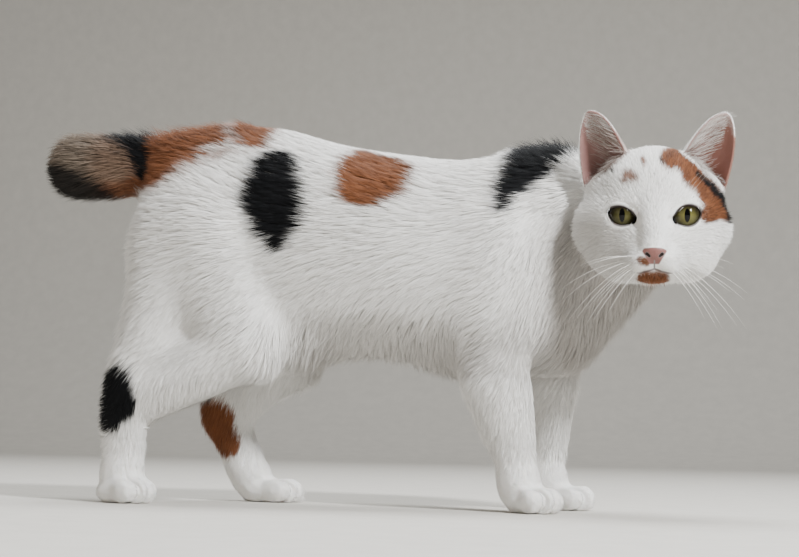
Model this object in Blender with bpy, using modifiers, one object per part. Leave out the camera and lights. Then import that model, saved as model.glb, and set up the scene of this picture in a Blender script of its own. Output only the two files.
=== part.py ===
"""A short-haired, stump-tailed calico cat at life size, standing square with its head turned to its right.

The body runs along +X, nose end forward, and the head looks along -Y. Everything is in metres, +Z up,
with the soles of the paws on z = 0 and the origin under the middle of the model.
"""

import math

import bmesh
import bpy
from mathutils import Matrix, Vector
from mathutils.bvhtree import BVHTree

# The thin cut that parts one node from the next
GAP = 0.0003

# Driving heights and lengths of the standing cat
RUMP_TOP = 0.277
WITHERS_TOP = 0.252
BELLY_LINE = 0.098
RUMP_BACK = -0.143
CHEST_FRONT = 0.206
TORSO_HALF_WIDTH = 0.064

# Torso stations from rump to chest: x, top, bottom, half width, each a share of the driving sizes
TORSO_STATIONS = (
    (RUMP_BACK, RUMP_TOP - 0.050, 0.162, 0.022),
    (-0.134, RUMP_TOP - 0.016, 0.137, 0.038),
    (-0.116, RUMP_TOP - 0.007, 0.122, 0.050),
    (-0.088, RUMP_TOP - 0.002, 0.114, 0.055),
    (-0.058, RUMP_TOP, 0.104, 0.057),
    (-0.024, RUMP_TOP - 0.005, BELLY_LINE, 0.060),
    (0.010, RUMP_TOP - 0.0145, BELLY_LINE + 0.009, TORSO_HALF_WIDTH),
    (0.052, WITHERS_TOP + 0.0035, BELLY_LINE + 0.010, TORSO_HALF_WIDTH),
    (0.092, WITHERS_TOP, BELLY_LINE, TORSO_HALF_WIDTH - 0.005),
    (0.130, WITHERS_TOP + 0.001, BELLY_LINE - 0.004, 0.053),
    (0.160, WITHERS_TOP - 0.004, BELLY_LINE, 0.047),
    (0.186, WITHERS_TOP - 0.022, 0.109, 0.038),
    (CHEST_FRONT, 0.205, 0.138, 0.018),
)
# How far up its section the torso is widest
WIDEST_SHARE = 0.46
TORSO_RINGS = 44
RING_SIDES = 40

# Legs: how far each pair stands from the midline
FRONT_TRACK = 0.034
HIND_TRACK = 0.041
PAW_HEIGHT = 0.021
FRONT_PAW_LENGTH = 0.043
# From the middle of one toe to the next
TOE_PITCH = 0.0081

# The head's own frame: +X out of the face, +Y the cat's left, +Z up, origin between and behind the eyes
HEAD_AT = Vector((0.2313, -0.0550, 0.2034))
HEAD_TURN = math.radians(-90)
HEAD_NOD = math.radians(7.5)

SKULL_TOP = 0.0475
CHEEK_HALF_WIDTH = 0.0525
NOSE_TIP = Vector((0.0505, 0, -0.0245))
CHIN_LEVEL = -0.0450

# Eyes
EYE_RADIUS = 0.0108
EYE_AT = Vector((0.0205, 0.0206, 0.0))
EYE_SPLAY = math.radians(9)
EYE_TILT = math.radians(16)
LID_THICKNESS = 0.0019
EYE_OPEN_HALF = (0.0094, 0.0071)

# Ears: the base line runs from its inner to its outer end, in the head's frame for the left ear
EAR_INNER_BASE = Vector((0.000, 0.0190, 0.0395))
EAR_OUTER_BASE = Vector((-0.012, 0.0470, 0.0160))
EAR_TIPS = {-1: Vector((-0.007, 0.0462, 0.0705)), 1: Vector((-0.007, 0.0500, 0.0685))}
EAR_WALL = 0.0022
EAR_CUP_DEPTH = 0.022

# Tail stump
TAIL_ROOT = Vector((-0.112, 0, 0.2440))
TAIL_END = Vector((-0.1905, 0, 0.2465))
TAIL_ROOT_RADIUS = 0.0225
TAIL_END_RADIUS = 0.0252

# Triangles kept for each form
BODY_TRIANGLES = 5000
HEAD_TRIANGLES = 3400

# Colours, linear, from the coat and bare skin
WHITE_COAT = (0.80, 0.79, 0.76, 1.0)
PINK_SKIN = (0.62, 0.36, 0.30, 1.0)
ORANGE_COAT = (0.42, 0.17, 0.06, 1.0)
IRIS_GREEN = (0.32, 0.31, 0.09, 1.0)


def clear_scene():
    for obj in list(bpy.data.objects):
        bpy.data.objects.remove(obj)


def new_object(name, bm, collection):
    """A bmesh made an object of its own."""
    mesh = bpy.data.meshes.new(name)
    bm.to_mesh(mesh)
    bm.free()
    obj = bpy.data.objects.new(name, mesh)
    collection.objects.link(obj)
    return obj


def ellipsoid(collection, centre, radii, turn=None, segments=32, rings=20):
    """A sphere stretched to three radii, turned, then set at its centre."""
    bm = bmesh.new()
    bmesh.ops.create_uvsphere(bm, u_segments=segments, v_segments=rings, radius=1.0)
    matrix = Matrix.Translation(centre) @ (turn or Matrix.Identity(4)) @ Matrix.Diagonal((*radii, 1.0))
    bmesh.ops.transform(bm, matrix=matrix, verts=bm.verts)
    return new_object("form", bm, collection)


def limb(collection, start, end, start_radius, end_radius, flat=1.0, segments=28):
    """A tapered length of limb with round ends: a sphere whose two halves are pulled apart. flat thins it along Y."""
    start, end = Vector(start), Vector(end)
    turn = (end - start).to_track_quat("Z", "Y").to_matrix()
    bm = bmesh.new()
    bmesh.ops.create_uvsphere(bm, u_segments=segments, v_segments=17, radius=1.0)
    for vert in bm.verts:
        at_end = vert.co.z > 0
        offset = turn @ (vert.co * (end_radius if at_end else start_radius))
        offset.y *= flat
        vert.co = (end if at_end else start) + offset
    return new_object("form", bm, collection)


def smooth_between(stations, x):
    """The station at x on a smooth curve through the stations (Catmull-Rom in each column)."""
    xs = [s[0] for s in stations]
    i = max(0, min(len(xs) - 2, sum(1 for v in xs[1:] if v < x)))
    before, here = stations[max(i - 1, 0)], stations[i]
    there, after = stations[i + 1], stations[min(i + 2, len(xs) - 1)]
    span = there[0] - here[0]
    t = (x - here[0]) / span
    values = []
    for a, b, c, d in zip(before[1:], here[1:], there[1:], after[1:]):
        left = (c - a) / max(there[0] - before[0], 1e-9) * span
        right = (d - b) / max(after[0] - here[0], 1e-9) * span
        h = (2 * t**3 - 3 * t**2 + 1, t**3 - 2 * t**2 + t, -2 * t**3 + 3 * t**2, t**3 - t**2)
        values.append(h[0] * b + h[1] * left + h[2] * c + h[3] * right)
    return values


def torso_form(collection):
    """The barrel of the body: rings bridged from rump to chest."""
    bm = bmesh.new()
    first, last = TORSO_STATIONS[0][0], TORSO_STATIONS[-1][0]
    for i in range(TORSO_RINGS):
        x = first + (last - first) * i / (TORSO_RINGS - 1)
        top, bottom, half = smooth_between(TORSO_STATIONS, x)
        widest = bottom + (top - bottom) * WIDEST_SHARE
        ring = bmesh.ops.create_circle(bm, segments=RING_SIDES, radius=1.0)["verts"]
        for vert in ring:
            side, up = vert.co.x, vert.co.y
            reach = top - widest if up > 0 else widest - bottom
            vert.co = (x, side * half, widest + up * reach)
    bmesh.ops.bridge_loops(bm, edges=bm.edges)
    bmesh.ops.holes_fill(bm, edges=bm.edges)
    bmesh.ops.recalc_face_normals(bm, faces=bm.faces)
    return new_object("form", bm, collection)


def paw(collection, heel, length, turn):
    """A paw: its pad block and four toes in an arc, with soles that reach below the floor, to be cut flat."""
    swing = Matrix.Translation((*heel, 0)) @ Matrix.Rotation(turn, 4, "Z")
    half = PAW_HEIGHT / 2
    block = swing @ Vector((length * 0.38, 0, half * 0.76))
    ellipsoid(collection, block, (length * 0.40, 0.0152, half * 1.06), Matrix.Rotation(turn, 4, "Z"))
    toe_length = length * 0.26
    for side in (-1.5, -0.5, 0.5, 1.5):
        inner = abs(side) < 1
        forward = length - toe_length - (0.0 if inner else 0.0055)
        place = swing @ Vector((forward, side * TOE_PITCH, half * 0.80))
        spread = Matrix.Rotation(turn + side * 0.16, 4, "Z")
        ellipsoid(collection, place, (toe_length, 0.0054, half * (0.98 if inner else 0.88)), spread, 20, 14)


def hind_leg(collection, side, knee, hock, ankle, heel, length, turn):
    """Thigh, shank, metatarsus and paw of one hind leg. side is -1 on the cat's right."""
    y = side * HIND_TRACK
    ellipsoid(collection, (-0.086, side * 0.033, 0.178), (0.0585, 0.0305, 0.068))
    limb(collection, (-0.082, side * 0.035, 0.185), (knee[0], side * 0.045, knee[1]), 0.044, 0.029, 0.72)
    limb(collection, (knee[0], side * 0.045, knee[1]), (hock[0], y, hock[1]), 0.027, 0.0195, 0.85)
    limb(collection, (-0.112, side * 0.036, 0.148), (hock[0], y, hock[1] + 0.010), 0.032, 0.0175, 0.80)
    limb(collection, (hock[0], y, hock[1]), (ankle[0], y, ankle[1]), 0.0185, 0.0165, 0.88)
    paw(collection, heel, length, turn)


def front_leg(collection, side, elbow, wrist, heel, turn):
    """Shoulder, forearm and paw of one front leg."""
    y = side * FRONT_TRACK
    ellipsoid(collection, (elbow[0] - 0.004, side * 0.035, 0.158), (0.046, 0.0265, 0.064))
    limb(collection, (elbow[0], side * 0.035, elbow[1]), (wrist[0], y, wrist[1]), 0.0265, 0.0162, 0.84)
    limb(collection, (wrist[0], y, wrist[1]), (wrist[0] + 0.002, y, 0.018), 0.0162, 0.0160, 0.94)
    paw(collection, heel, FRONT_PAW_LENGTH, turn)


def body_forms(collection):
    """All the overlapping forms of the body from tail to neck, legs included."""
    torso_form(collection)
    limb(collection, TAIL_ROOT, TAIL_END, TAIL_ROOT_RADIUS, TAIL_END_RADIUS)
    hind_leg(collection, -1, (-0.050, 0.114), (-0.137, 0.071), (-0.1395, 0.020), (-0.1560, -0.0365), 0.0455, -0.40)
    hind_leg(collection, 1, (-0.038, 0.114), (-0.0865, 0.066), (-0.0650, 0.020), (-0.0725, 0.0435), 0.0490, -0.20)
    front_leg(collection, -1, (0.124, 0.096), (0.139, 0.032), (0.1340, -0.0280), -0.65)
    front_leg(collection, 1, (0.154, 0.100), (0.155, 0.032), (0.1505, 0.0380), -0.35)
    limb(collection, (0.158, 0, 0.146), (0.200, -0.004, 0.183), 0.0505, 0.0405, 0.92)
    limb(collection, (0.104, 0, 0.197), (0.158, 0.006, 0.2145), 0.0565, 0.0465, 0.96)
    limb(collection, (0.158, 0.006, 0.2145), (0.2130, 0.003, 0.2035), 0.0455, 0.0375)


def head_forms(collection):
    """The overlapping forms of the head, in the head's own frame."""
    ellipsoid(collection, (-0.006, 0, 0.004), (0.041, 0.042, SKULL_TOP - 0.004))
    ellipsoid(collection, (0.004, 0, -0.019), (0.036, 0.040, 0.0265))
    limb(collection, (0.020, 0, 0.014), (0.0385, 0, -0.0165), 0.0135, 0.0090)
    ellipsoid(collection, (0.0210, 0, -0.0265), (0.0225, 0.0250, 0.0180))
    ellipsoid(collection, (0.0290, 0, CHIN_LEVEL + 0.0085), (0.0150, 0.0150, 0.0085))
    ellipsoid(collection, NOSE_TIP - Vector((0.0076, 0, -0.0006)), (0.0076, 0.0092, 0.0068))
    for side in (-1, 1):
        ellipsoid(collection, (-0.004, side * (CHEEK_HALF_WIDTH - 0.034), -0.008), (0.034, 0.034, 0.033))
        ellipsoid(collection, (-0.011, side * 0.0240, 0.0135), (0.0270, 0.0230, 0.0195))
        ellipsoid(collection, (0.004, side * 0.0195, -0.0220), (0.0280, 0.0265, 0.0225))
        ellipsoid(collection, (0.013, side * 0.0225, -0.0120), (0.0185, 0.0195, 0.0150))
        ellipsoid(collection, (0.0335, side * 0.0085, -0.0305), (0.0145, 0.0120, 0.0098))
        ellipsoid(collection, mirrored(EYE_AT, side), (EYE_RADIUS + LID_THICKNESS,) * 3)


def mirrored(point, side):
    return Vector((point.x, side * point.y, point.z))


def evaluated_copy(obj, name, collection):
    """The object as its modifiers leave it, made a plain mesh, with the old object removed."""
    graph = bpy.context.evaluated_depsgraph_get()
    mesh = bpy.data.meshes.new_from_object(obj.evaluated_get(graph))
    mesh.transform(obj.matrix_world)
    bpy.data.objects.remove(obj)
    made = bpy.data.objects.new(name, mesh)
    collection.objects.link(made)
    return made


def fused(name, forms, collection, voxel):
    """One closed skin round all of a collection's overlapping forms."""
    bm = bmesh.new()
    for form in list(forms.objects):
        bm.from_mesh(form.data)
        bpy.data.objects.remove(form)
    whole = new_object(name, bm, collection)
    remesh = whole.modifiers.new("skin", "REMESH")
    remesh.mode = "VOXEL"
    remesh.voxel_size = voxel
    return evaluated_copy(whole, name, collection)


def relax(obj, passes, chosen=lambda co: True):
    """Smooths the creases where forms meet, at the points that chosen picks."""
    bm = bmesh.new()
    bm.from_mesh(obj.data)
    verts = [v for v in bm.verts if chosen(v.co)]
    for _ in range(passes):
        bmesh.ops.smooth_vert(bm, verts=verts, factor=0.5, use_axis_x=True, use_axis_y=True, use_axis_z=True)
    bm.to_mesh(obj.data)
    bm.free()


def thinned(obj, name, triangles, collection):
    """The same form with about that many triangles, kept where it bends most."""
    obj.data.calc_loop_triangles()
    modifier = obj.modifiers.new("thin", "DECIMATE")
    modifier.ratio = min(1.0, triangles / len(obj.data.loop_triangles))
    return evaluated_copy(obj, name, collection)


def boolean(obj, operand, operation, solver="EXACT"):
    """Joins, cuts or keeps obj by an object or a collection, which is then removed."""
    modifier = obj.modifiers.new(operation.lower(), "BOOLEAN")
    modifier.operation = operation
    modifier.solver = solver
    if isinstance(operand, bpy.types.Object):
        modifier.object = operand
        used = [operand]
    else:
        modifier.operand_type = "COLLECTION"
        modifier.collection = operand
        used = list(operand.objects)
    made = evaluated_copy(obj, obj.name, obj.users_collection[0])
    for other in used:
        bpy.data.objects.remove(other)
    return made


def largest_piece(obj):
    """Drops any loose scrap that a cut left."""
    bm = bmesh.new()
    bm.from_mesh(obj.data)
    bmesh.ops.remove_doubles(bm, verts=bm.verts, dist=1e-6)
    bmesh.ops.triangulate(bm, faces=bm.faces)
    unseen = set(bm.verts)
    pieces = []
    while unseen:
        stack = [unseen.pop()]
        piece = set(stack)
        while stack:
            for edge in stack.pop().link_edges:
                for vert in edge.verts:
                    if vert in unseen:
                        unseen.discard(vert)
                        piece.add(vert)
                        stack.append(vert)
        pieces.append(piece)
    pieces.sort(key=len)
    for piece in pieces[:-1]:
        bmesh.ops.delete(bm, geom=list(piece), context="VERTS")
    bm.to_mesh(obj.data)
    bm.free()


def grown(obj, amount, name, collection):
    """A copy of a solid with its surface moved out by that amount."""
    bm = bmesh.new()
    bm.from_mesh(obj.data)
    bm.normal_update()
    moves = [(v, v.normal * amount) for v in bm.verts]
    for vert, move in moves:
        vert.co += move
    return new_object(name, bm, collection)


def box(collection, low, high, turn=None, grow=0.0):
    """A box from its low to its high corner, swung about its middle by turn, and grown on each side."""
    low, high = Vector(low), Vector(high)
    size = high - low + Vector((2 * grow,) * 3)
    bm = bmesh.new()
    bmesh.ops.create_cube(bm, size=1.0)
    matrix = Matrix.Translation((low + high) / 2) @ (turn or Matrix.Identity(4)) @ Matrix.Diagonal((*size, 1.0))
    bmesh.ops.transform(bm, matrix=matrix, verts=bm.verts)
    return new_object("cutter", bm, collection)


def duplicate(obj, name, collection):
    made = bpy.data.objects.new(name, obj.data.copy())
    collection.objects.link(made)
    return made


def parted(whole, name, region, collection, cutters):
    """The part of whole inside a region box as a new node, and whole without it and the gap round it."""
    node = duplicate(whole, name, collection)
    node = boolean(node, box(cutters, *region), "INTERSECT")
    largest_piece(node)
    rest = boolean(whole, box(cutters, *region, grow=GAP), "DIFFERENCE")
    largest_piece(rest)
    return node, rest


def flat_soles(obj):
    """Cuts the paws off flat at the floor."""
    bm = bmesh.new()
    bm.from_mesh(obj.data)
    geometry = list(bm.verts) + list(bm.edges) + list(bm.faces)
    cut = bmesh.ops.bisect_plane(bm, geom=geometry, plane_co=(0, 0, 0), plane_no=(0, 0, 1), clear_inner=True)
    edges = [e for e in cut["geom_cut"] if isinstance(e, bmesh.types.BMEdge)]
    bmesh.ops.holes_fill(bm, edges=edges)
    bmesh.ops.triangulate(bm, faces=bm.faces)
    bm.to_mesh(obj.data)
    bm.free()


def groove(collection, surface, points, radius):
    """A round cutter that runs along a surface through the points nearest to those given."""
    tree = BVHTree.FromPolygons([v.co for v in surface.data.vertices], [p.vertices for p in surface.data.polygons])
    curve = bpy.data.curves.new("groove", "CURVE")
    curve.dimensions = "3D"
    curve.bevel_depth = radius
    curve.bevel_resolution = 2
    curve.use_fill_caps = True
    spline = curve.splines.new("POLY")
    spline.points.add(len(points) - 1)
    for slot, point in zip(spline.points, points):
        slot.co = (*tree.find_nearest(Vector(point))[0], 1.0)
    obj = bpy.data.objects.new("groove", curve)
    collection.objects.link(obj)
    made = evaluated_copy(obj, "groove", collection)
    bm = bmesh.new()
    bm.from_mesh(made.data)
    bmesh.ops.remove_doubles(bm, verts=bm.verts, dist=1e-5)
    bmesh.ops.recalc_face_normals(bm, faces=bm.faces)
    bm.to_mesh(made.data)
    bm.free()
    return made


def mouth_cutters(collection, head):
    """The philtrum, the line of the mouth to each corner, and the two nostrils."""
    split = Vector((0.0490, 0, -0.0345))
    groove(collection, head, [NOSE_TIP + Vector((0, 0, -0.004)), split, split + Vector((-0.001, 0, -0.002))], 0.0007)
    for side in (-1, 1):
        line = [(0.0485, 0, -0.0350), (0.0475, side * 0.0040, -0.0365), (0.0440, side * 0.0090, -0.0378)]
        line += [(0.0390, side * 0.0135, -0.0380), (0.0330, side * 0.0170, -0.0370), (0.0270, side * 0.0190, -0.0352)]
        groove(collection, head, line, 0.0010)
        nostril = NOSE_TIP + Vector((-0.0010, side * 0.0044, -0.0012))
        ellipsoid(collection, nostril, (0.0028, 0.0020, 0.0013), Matrix.Rotation(side * 0.5, 4, "X"), 12, 8)


def eye_frame(side):
    """Where an eyeball sits and looks: +X out of the pupil."""
    return Matrix.Translation(mirrored(EYE_AT, side)) @ Matrix.Rotation(side * EYE_SPLAY, 4, "Z")


def lid_opening(collection, side):
    """The almond opening between the lids as a prism that starts at the middle of the eyeball."""
    half_width, half_height = EYE_OPEN_HALF
    sides = 28
    bm = bmesh.new()
    ring = bmesh.ops.create_circle(bm, cap_ends=True, segments=sides, radius=1.0)["verts"]
    for vert in ring:
        across, up = vert.co.x, vert.co.y
        vert.co = (0, across * half_width, up * half_height * (0.78 + 0.22 * up * up))
    faces = bmesh.ops.extrude_face_region(bm, geom=bm.faces[:])["geom"]
    moved = [v for v in faces if isinstance(v, bmesh.types.BMVert)]
    bmesh.ops.translate(bm, verts=moved, vec=(0.03, 0, 0))
    bmesh.ops.recalc_face_normals(bm, faces=bm.faces)
    matrix = eye_frame(side) @ Matrix.Rotation(side * EYE_TILT, 4, "X")
    bmesh.ops.transform(bm, matrix=matrix, verts=bm.verts)
    return new_object("opening", bm, collection)


def ear(name, side, collection):
    """A cupped ear: a sheet wrapped round its axis, then given the thickness of its wall.

    share runs from 0 at the base line to 1 at the tip, and below 0 where the cup goes on down into the head.
    """
    inner, outer, tip = (mirrored(p, side) for p in (EAR_INNER_BASE, EAR_OUTER_BASE, EAR_TIPS[side]))
    base = (inner + outer) / 2
    across = (outer - inner) / 2
    back = (tip - base).cross(across).normalized() * side
    bm = bmesh.new()
    bmesh.ops.create_grid(bm, x_segments=11, y_segments=13, size=1.0)
    for vert in bm.verts:
        v, share = vert.co.x, 1.0 - 1.40 * ((1 - vert.co.y) / 2) ** 1.6
        above = max(0.0, share)
        width = max(0.04, (1.0 - above**3.2) ** 0.60 * (1.0 - 0.26 * above)) + 0.9 * min(0.0, share)
        wrap = math.radians(100 - 52 * above)
        spread = math.sin(v * wrap) / max(math.sin(wrap), math.sin(min(wrap, math.pi / 2)))
        hollow = (math.cos(v * wrap) - math.cos(wrap)) / (1 - math.cos(wrap))
        depth = EAR_CUP_DEPTH * (1.0 - above) ** 0.8 * (1.0 + 1.2 * min(0.0, share)) * hollow
        vert.co = base + (tip - base) * share + across * width * spread + back * depth
    bmesh.ops.recalc_face_normals(bm, faces=bm.faces)
    obj = new_object(name, bm, collection)
    wall = obj.modifiers.new("wall", "SOLIDIFY")
    wall.thickness = EAR_WALL
    wall.offset = 0
    return evaluated_copy(obj, name, collection)


def material(name, colour, roughness):
    made = bpy.data.materials.new(name)
    made.use_nodes = True
    shader = made.node_tree.nodes["Principled BSDF"]
    shader.inputs["Base Color"].default_value = colour
    shader.inputs["Roughness"].default_value = roughness
    shader.inputs["Metallic"].default_value = 0.0
    return made


def finish_node(obj, finish, root):
    """Gives a node its material, soft shading and its place under the model's root."""
    obj.data.materials.clear()
    obj.data.materials.append(finish)
    obj.data.shade_smooth()
    obj.parent = root


def build_head(parts, work):
    """Head, ears and eyes, made in the head's own frame and then set on the neck."""
    forms = bpy.data.collections.new("head forms")
    head_forms(forms)
    head = fused("head", forms, parts, 0.0013)
    relax(head, 15)
    cutters = bpy.data.collections.new("mouth cutters")
    mouth_cutters(cutters, head)
    head = boolean(head, cutters, "DIFFERENCE")
    for side in (-1, 1):
        head = boolean(head, lid_opening(work, side), "DIFFERENCE", "MANIFOLD")
    head = thinned(head, "head", HEAD_TRIANGLES, parts)
    ears, eyes = [], []
    upright = Matrix.Rotation(math.radians(90), 4, "Y")
    for side, word in ((-1, "right"), (1, "left")):
        cup = ear("ear_" + word, side, parts)
        ears.append(boolean(cup, grown(head, GAP, "cutter", work), "DIFFERENCE"))
        socket = ellipsoid(work, (0, 0, 0), (EYE_RADIUS + GAP,) * 3, upright, 20, 12)
        ball = ellipsoid(parts, (0, 0, 0), (EYE_RADIUS,) * 3, upright, 20, 12)
        for sphere in (socket, ball):
            sphere.data.transform(eye_frame(side))
        ball.name = "eye_" + word
        eyes.append(ball)
        head = boolean(head, socket, "DIFFERENCE", "MANIFOLD")
    largest_piece(head)
    place = Matrix.Translation(HEAD_AT) @ Matrix.Rotation(HEAD_TURN, 4, "Z") @ Matrix.Rotation(HEAD_NOD, 4, "Y")
    for obj in [head, *ears, *eyes]:
        obj.data.transform(place)
    return head, ears, eyes


def build_body(parts, work, head):
    """The body as one skin, parted into tail, legs, torso and, last of the list, neck by thin cuts."""
    forms = bpy.data.collections.new("body forms")
    body_forms(forms)
    body = fused("torso", forms, parts, 0.0025)
    relax(body, 14, lambda co: co.z > 0.030)
    relax(body, 2)
    body = thinned(body, "torso", BODY_TRIANGLES, parts)
    flat_soles(body)
    body = boolean(body, grown(head, GAP, "cutter", work), "DIFFERENCE", "MANIFOLD")
    largest_piece(body)
    hip = Matrix.Rotation(math.radians(22), 4, "Y")
    regions = (
        ("tail", ((-0.300, -0.060, 0.2205), (-0.1400, 0.060, 0.330))),
        ("hind_leg_right", ((-0.200, -0.120, -0.080), (-0.0220, -GAP / 2, 0.122), hip)),
        ("hind_leg_left", ((-0.200, GAP / 2, -0.080), (-0.0220, 0.120, 0.122), hip)),
        ("front_leg_right", ((0.085, -0.120, -0.010), (0.215, -GAP / 2, 0.0915))),
        ("front_leg_left", ((0.085, GAP / 2, -0.010), (0.215, 0.120, 0.0915))),
        ("neck", ((0.1520, -0.120, 0.060), (0.340, 0.120, 0.400), Matrix.Rotation(math.radians(-30), 4, "Y"))),
    )
    nodes = []
    for name, region in regions:
        node, body = parted(body, name, region, parts, work)
        nodes.append(node)
    return [body, *nodes]


def main():
    clear_scene()
    scene = bpy.context.scene.collection
    parts = bpy.data.collections.new("stump-tailed cat")
    work = bpy.data.collections.new("cutters")
    scene.children.link(parts)
    scene.children.link(work)
    head, ears, eyes = build_head(parts, work)
    body = build_body(parts, work, head)
    for i, cup in enumerate(ears):
        ears[i] = boolean(cup, grown(body[-1], GAP, "cutter", work), "DIFFERENCE")
        largest_piece(ears[i])
    coat = material("short white coat", WHITE_COAT, 0.85)
    patched = material("orange coat", ORANGE_COAT, 0.85)
    skin = material("ear skin", PINK_SKIN, 0.6)
    glass = material("green iris", IRIS_GREEN, 0.1)
    root = bpy.data.objects.new("cat_root", None)
    parts.objects.link(root)
    for obj in [head, *body]:
        finish_node(obj, patched if obj.name == "tail" else coat, root)
    for obj in ears:
        finish_node(obj, skin, root)
    for obj in eyes:
        finish_node(obj, glass, root)
    bpy.context.view_layer.update()
    corners = [v.co for obj in [head, *ears, *eyes, *body] for v in obj.data.vertices]
    middle = [(min(c[i] for c in corners) + max(c[i] for c in corners)) / 2 for i in (0, 1)]
    root.location = (-middle[0], -middle[1], 0)


if __name__ == "__main__":
    main()
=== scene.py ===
"""Looks of a standing, stump-tailed calico cat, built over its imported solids.

One skin takes the place of the solids of flesh and lies inside them by the depth of the coat. Tufts of solid
mesh grow from it along the lie of the coat. Skin and tufts read the same patches of colour.
"""

import math

import bmesh
import bpy
import numpy as np
from bpy.props import FloatProperty, FloatVectorProperty, IntProperty, PointerProperty
from mathutils import Matrix, Vector, noise
from mathutils.bvhtree import BVHTree
from mathutils.kdtree import KDTree


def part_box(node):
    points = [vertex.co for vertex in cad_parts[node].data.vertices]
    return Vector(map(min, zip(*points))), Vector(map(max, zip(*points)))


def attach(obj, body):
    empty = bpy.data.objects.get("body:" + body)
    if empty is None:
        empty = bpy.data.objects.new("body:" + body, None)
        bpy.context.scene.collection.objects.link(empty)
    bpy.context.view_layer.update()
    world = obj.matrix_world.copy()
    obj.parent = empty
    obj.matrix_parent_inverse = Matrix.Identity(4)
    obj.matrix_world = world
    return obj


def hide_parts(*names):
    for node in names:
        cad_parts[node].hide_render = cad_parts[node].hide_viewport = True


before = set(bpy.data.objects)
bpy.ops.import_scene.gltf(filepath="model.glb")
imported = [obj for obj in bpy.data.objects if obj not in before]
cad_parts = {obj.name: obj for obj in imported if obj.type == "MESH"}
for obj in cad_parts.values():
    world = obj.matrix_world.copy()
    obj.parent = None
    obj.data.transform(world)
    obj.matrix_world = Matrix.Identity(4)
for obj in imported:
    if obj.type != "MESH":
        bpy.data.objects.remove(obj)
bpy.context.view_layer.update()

bl_info = {
    "name": "Stump-tailed calico cat",
    "version": (1, 0, 0),
    "blender": (4, 5, 0),
    "location": "3D View > Sidebar > Cat",
    "description": "Skin, coat, eyes and whiskers of a standing cat over its packed solids",
    "category": "Object",
}

BODY_NODES = ("torso", "neck", "tail", "hind_leg_right", "hind_leg_left", "front_leg_right", "front_leg_left")
HEAD_NODES = ("head", "ear_right", "ear_left")
LEG_NODES = BODY_NODES[3:]
SIDES = {"right": -1, "left": 1}
MM = 0.001


# Places shared by the pieces

def eye_centre(word):
    low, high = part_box("eye_" + word)
    return (low + high) / 2


# The head looks along -Y and nods down a little. Its own frame is +X out of the face, +Y its left, +Z up
HEAD_NOD = math.radians(7.5)
HEAD_TURN = Matrix.Rotation(math.radians(-90), 3, "Z") @ Matrix.Rotation(HEAD_NOD, 3, "Y")
EYE_AT = Vector((0.0205, 0.0206, 0.0))
EYE_RADIUS = 0.0108
HEAD_AT = (eye_centre("right") + eye_centre("left")) / 2 - HEAD_TURN @ Vector((EYE_AT.x, 0, 0))
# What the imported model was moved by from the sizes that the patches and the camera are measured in
MODEL_SHIFT = HEAD_AT - Vector((0.2313, -0.0550, 0.2034))
TURN = np.array(HEAD_TURN)


def head_local(points):
    """Points in the head's own frame, in millimetres."""
    return (points - np.array(HEAD_AT)) @ TURN * 1000


def body_local(points):
    """Points in the frame that the body's patches are measured in, in millimetres."""
    return (points - np.array(MODEL_SHIFT)) * 1000


def from_head(x, y, z):
    """A point given in the head's frame in millimetres, in the model's frame in metres."""
    return HEAD_AT + HEAD_TURN @ Vector((x, y, z)) * MM


def ease(low, high, value):
    """0 below low, 1 above high, and a soft step between."""
    t = np.clip((value - low) / (high - low), 0, 1)
    return t * t * (3 - 2 * t)


def fall(low, high, value):
    """1 below low, 0 above high, and a soft step between."""
    return 1 - ease(low, high, value)


def to_linear(code):
    """A hex sRGB colour as linear RGBA."""
    values = [int(code[i:i + 2], 16) / 255 for i in (1, 3, 5)]
    return [v / 12.92 if v <= 0.04045 else ((v + 0.055) / 1.055) ** 2.4 for v in values] + [1.0]


# Sizes and colours that a user would change

class CoatSettings(bpy.types.PropertyGroup):
    """Length, number and colours of the tufts."""
    flank_length: FloatProperty(name="Flank length", description="Length of a tuft on the flank",
                                default=0.0135, unit="LENGTH")
    face_length: FloatProperty(name="Face length", description="Length of a tuft on the forehead",
                               default=0.0042, unit="LENGTH")
    body_tufts: IntProperty(name="Body tufts", description="Tufts on body, legs and tail", default=178000)
    head_tufts: IntProperty(name="Head tufts", description="Tufts on the head and the backs of the ears",
                            default=82000)
    white: FloatVectorProperty(name="White", description="White hair", subtype="COLOR", size=4,
                               default=to_linear("#F6F4F0"))
    orange: FloatVectorProperty(name="Orange", description="Orange hair", subtype="COLOR", size=4,
                                default=to_linear("#7B4C30"))
    black: FloatVectorProperty(name="Black", description="Black hair", subtype="COLOR", size=4,
                               default=to_linear("#08090B"))
    # The tan is also mixed in as painted shade on belly, chest, neck and right cheek
    tan: FloatVectorProperty(name="Tan", description="Grey-tan hair of the tail", subtype="COLOR", size=4,
                             default=to_linear("#76695C"))


class HeadSettings(bpy.types.PropertyGroup):
    """Eyes, bare skin and whiskers."""
    pupil_width: FloatProperty(name="Pupil width", description="Width of the upright oval of the pupil",
                               default=0.0038, unit="LENGTH")
    pupil_height: FloatProperty(name="Pupil height", description="Height of the upright oval of the pupil",
                                default=0.0092, unit="LENGTH")
    whisker_length: FloatProperty(name="Whisker length", description="Length of the longest whisker",
                                  default=0.062, unit="LENGTH")
    iris: FloatVectorProperty(name="Iris", description="Middle of the iris", subtype="COLOR", size=4,
                              default=to_linear("#57532F"))
    skin: FloatVectorProperty(name="Bare skin", description="Bare pink skin", subtype="COLOR", size=4,
                              default=to_linear("#A06F69"))


class StageSettings(bpy.types.PropertyGroup):
    """Floor and lights."""
    key_power: FloatProperty(name="Key light", description="Power of the main soft light", default=82.0,
                             subtype="POWER")
    fill_power: FloatProperty(name="Fill light", description="Power of the soft light from the other side",
                              default=4.5, subtype="POWER")
    floor: FloatVectorProperty(name="Floor", description="Pale floor and backdrop", subtype="COLOR", size=4,
                               default=to_linear("#D9D6D0"))


# Materials

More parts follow.
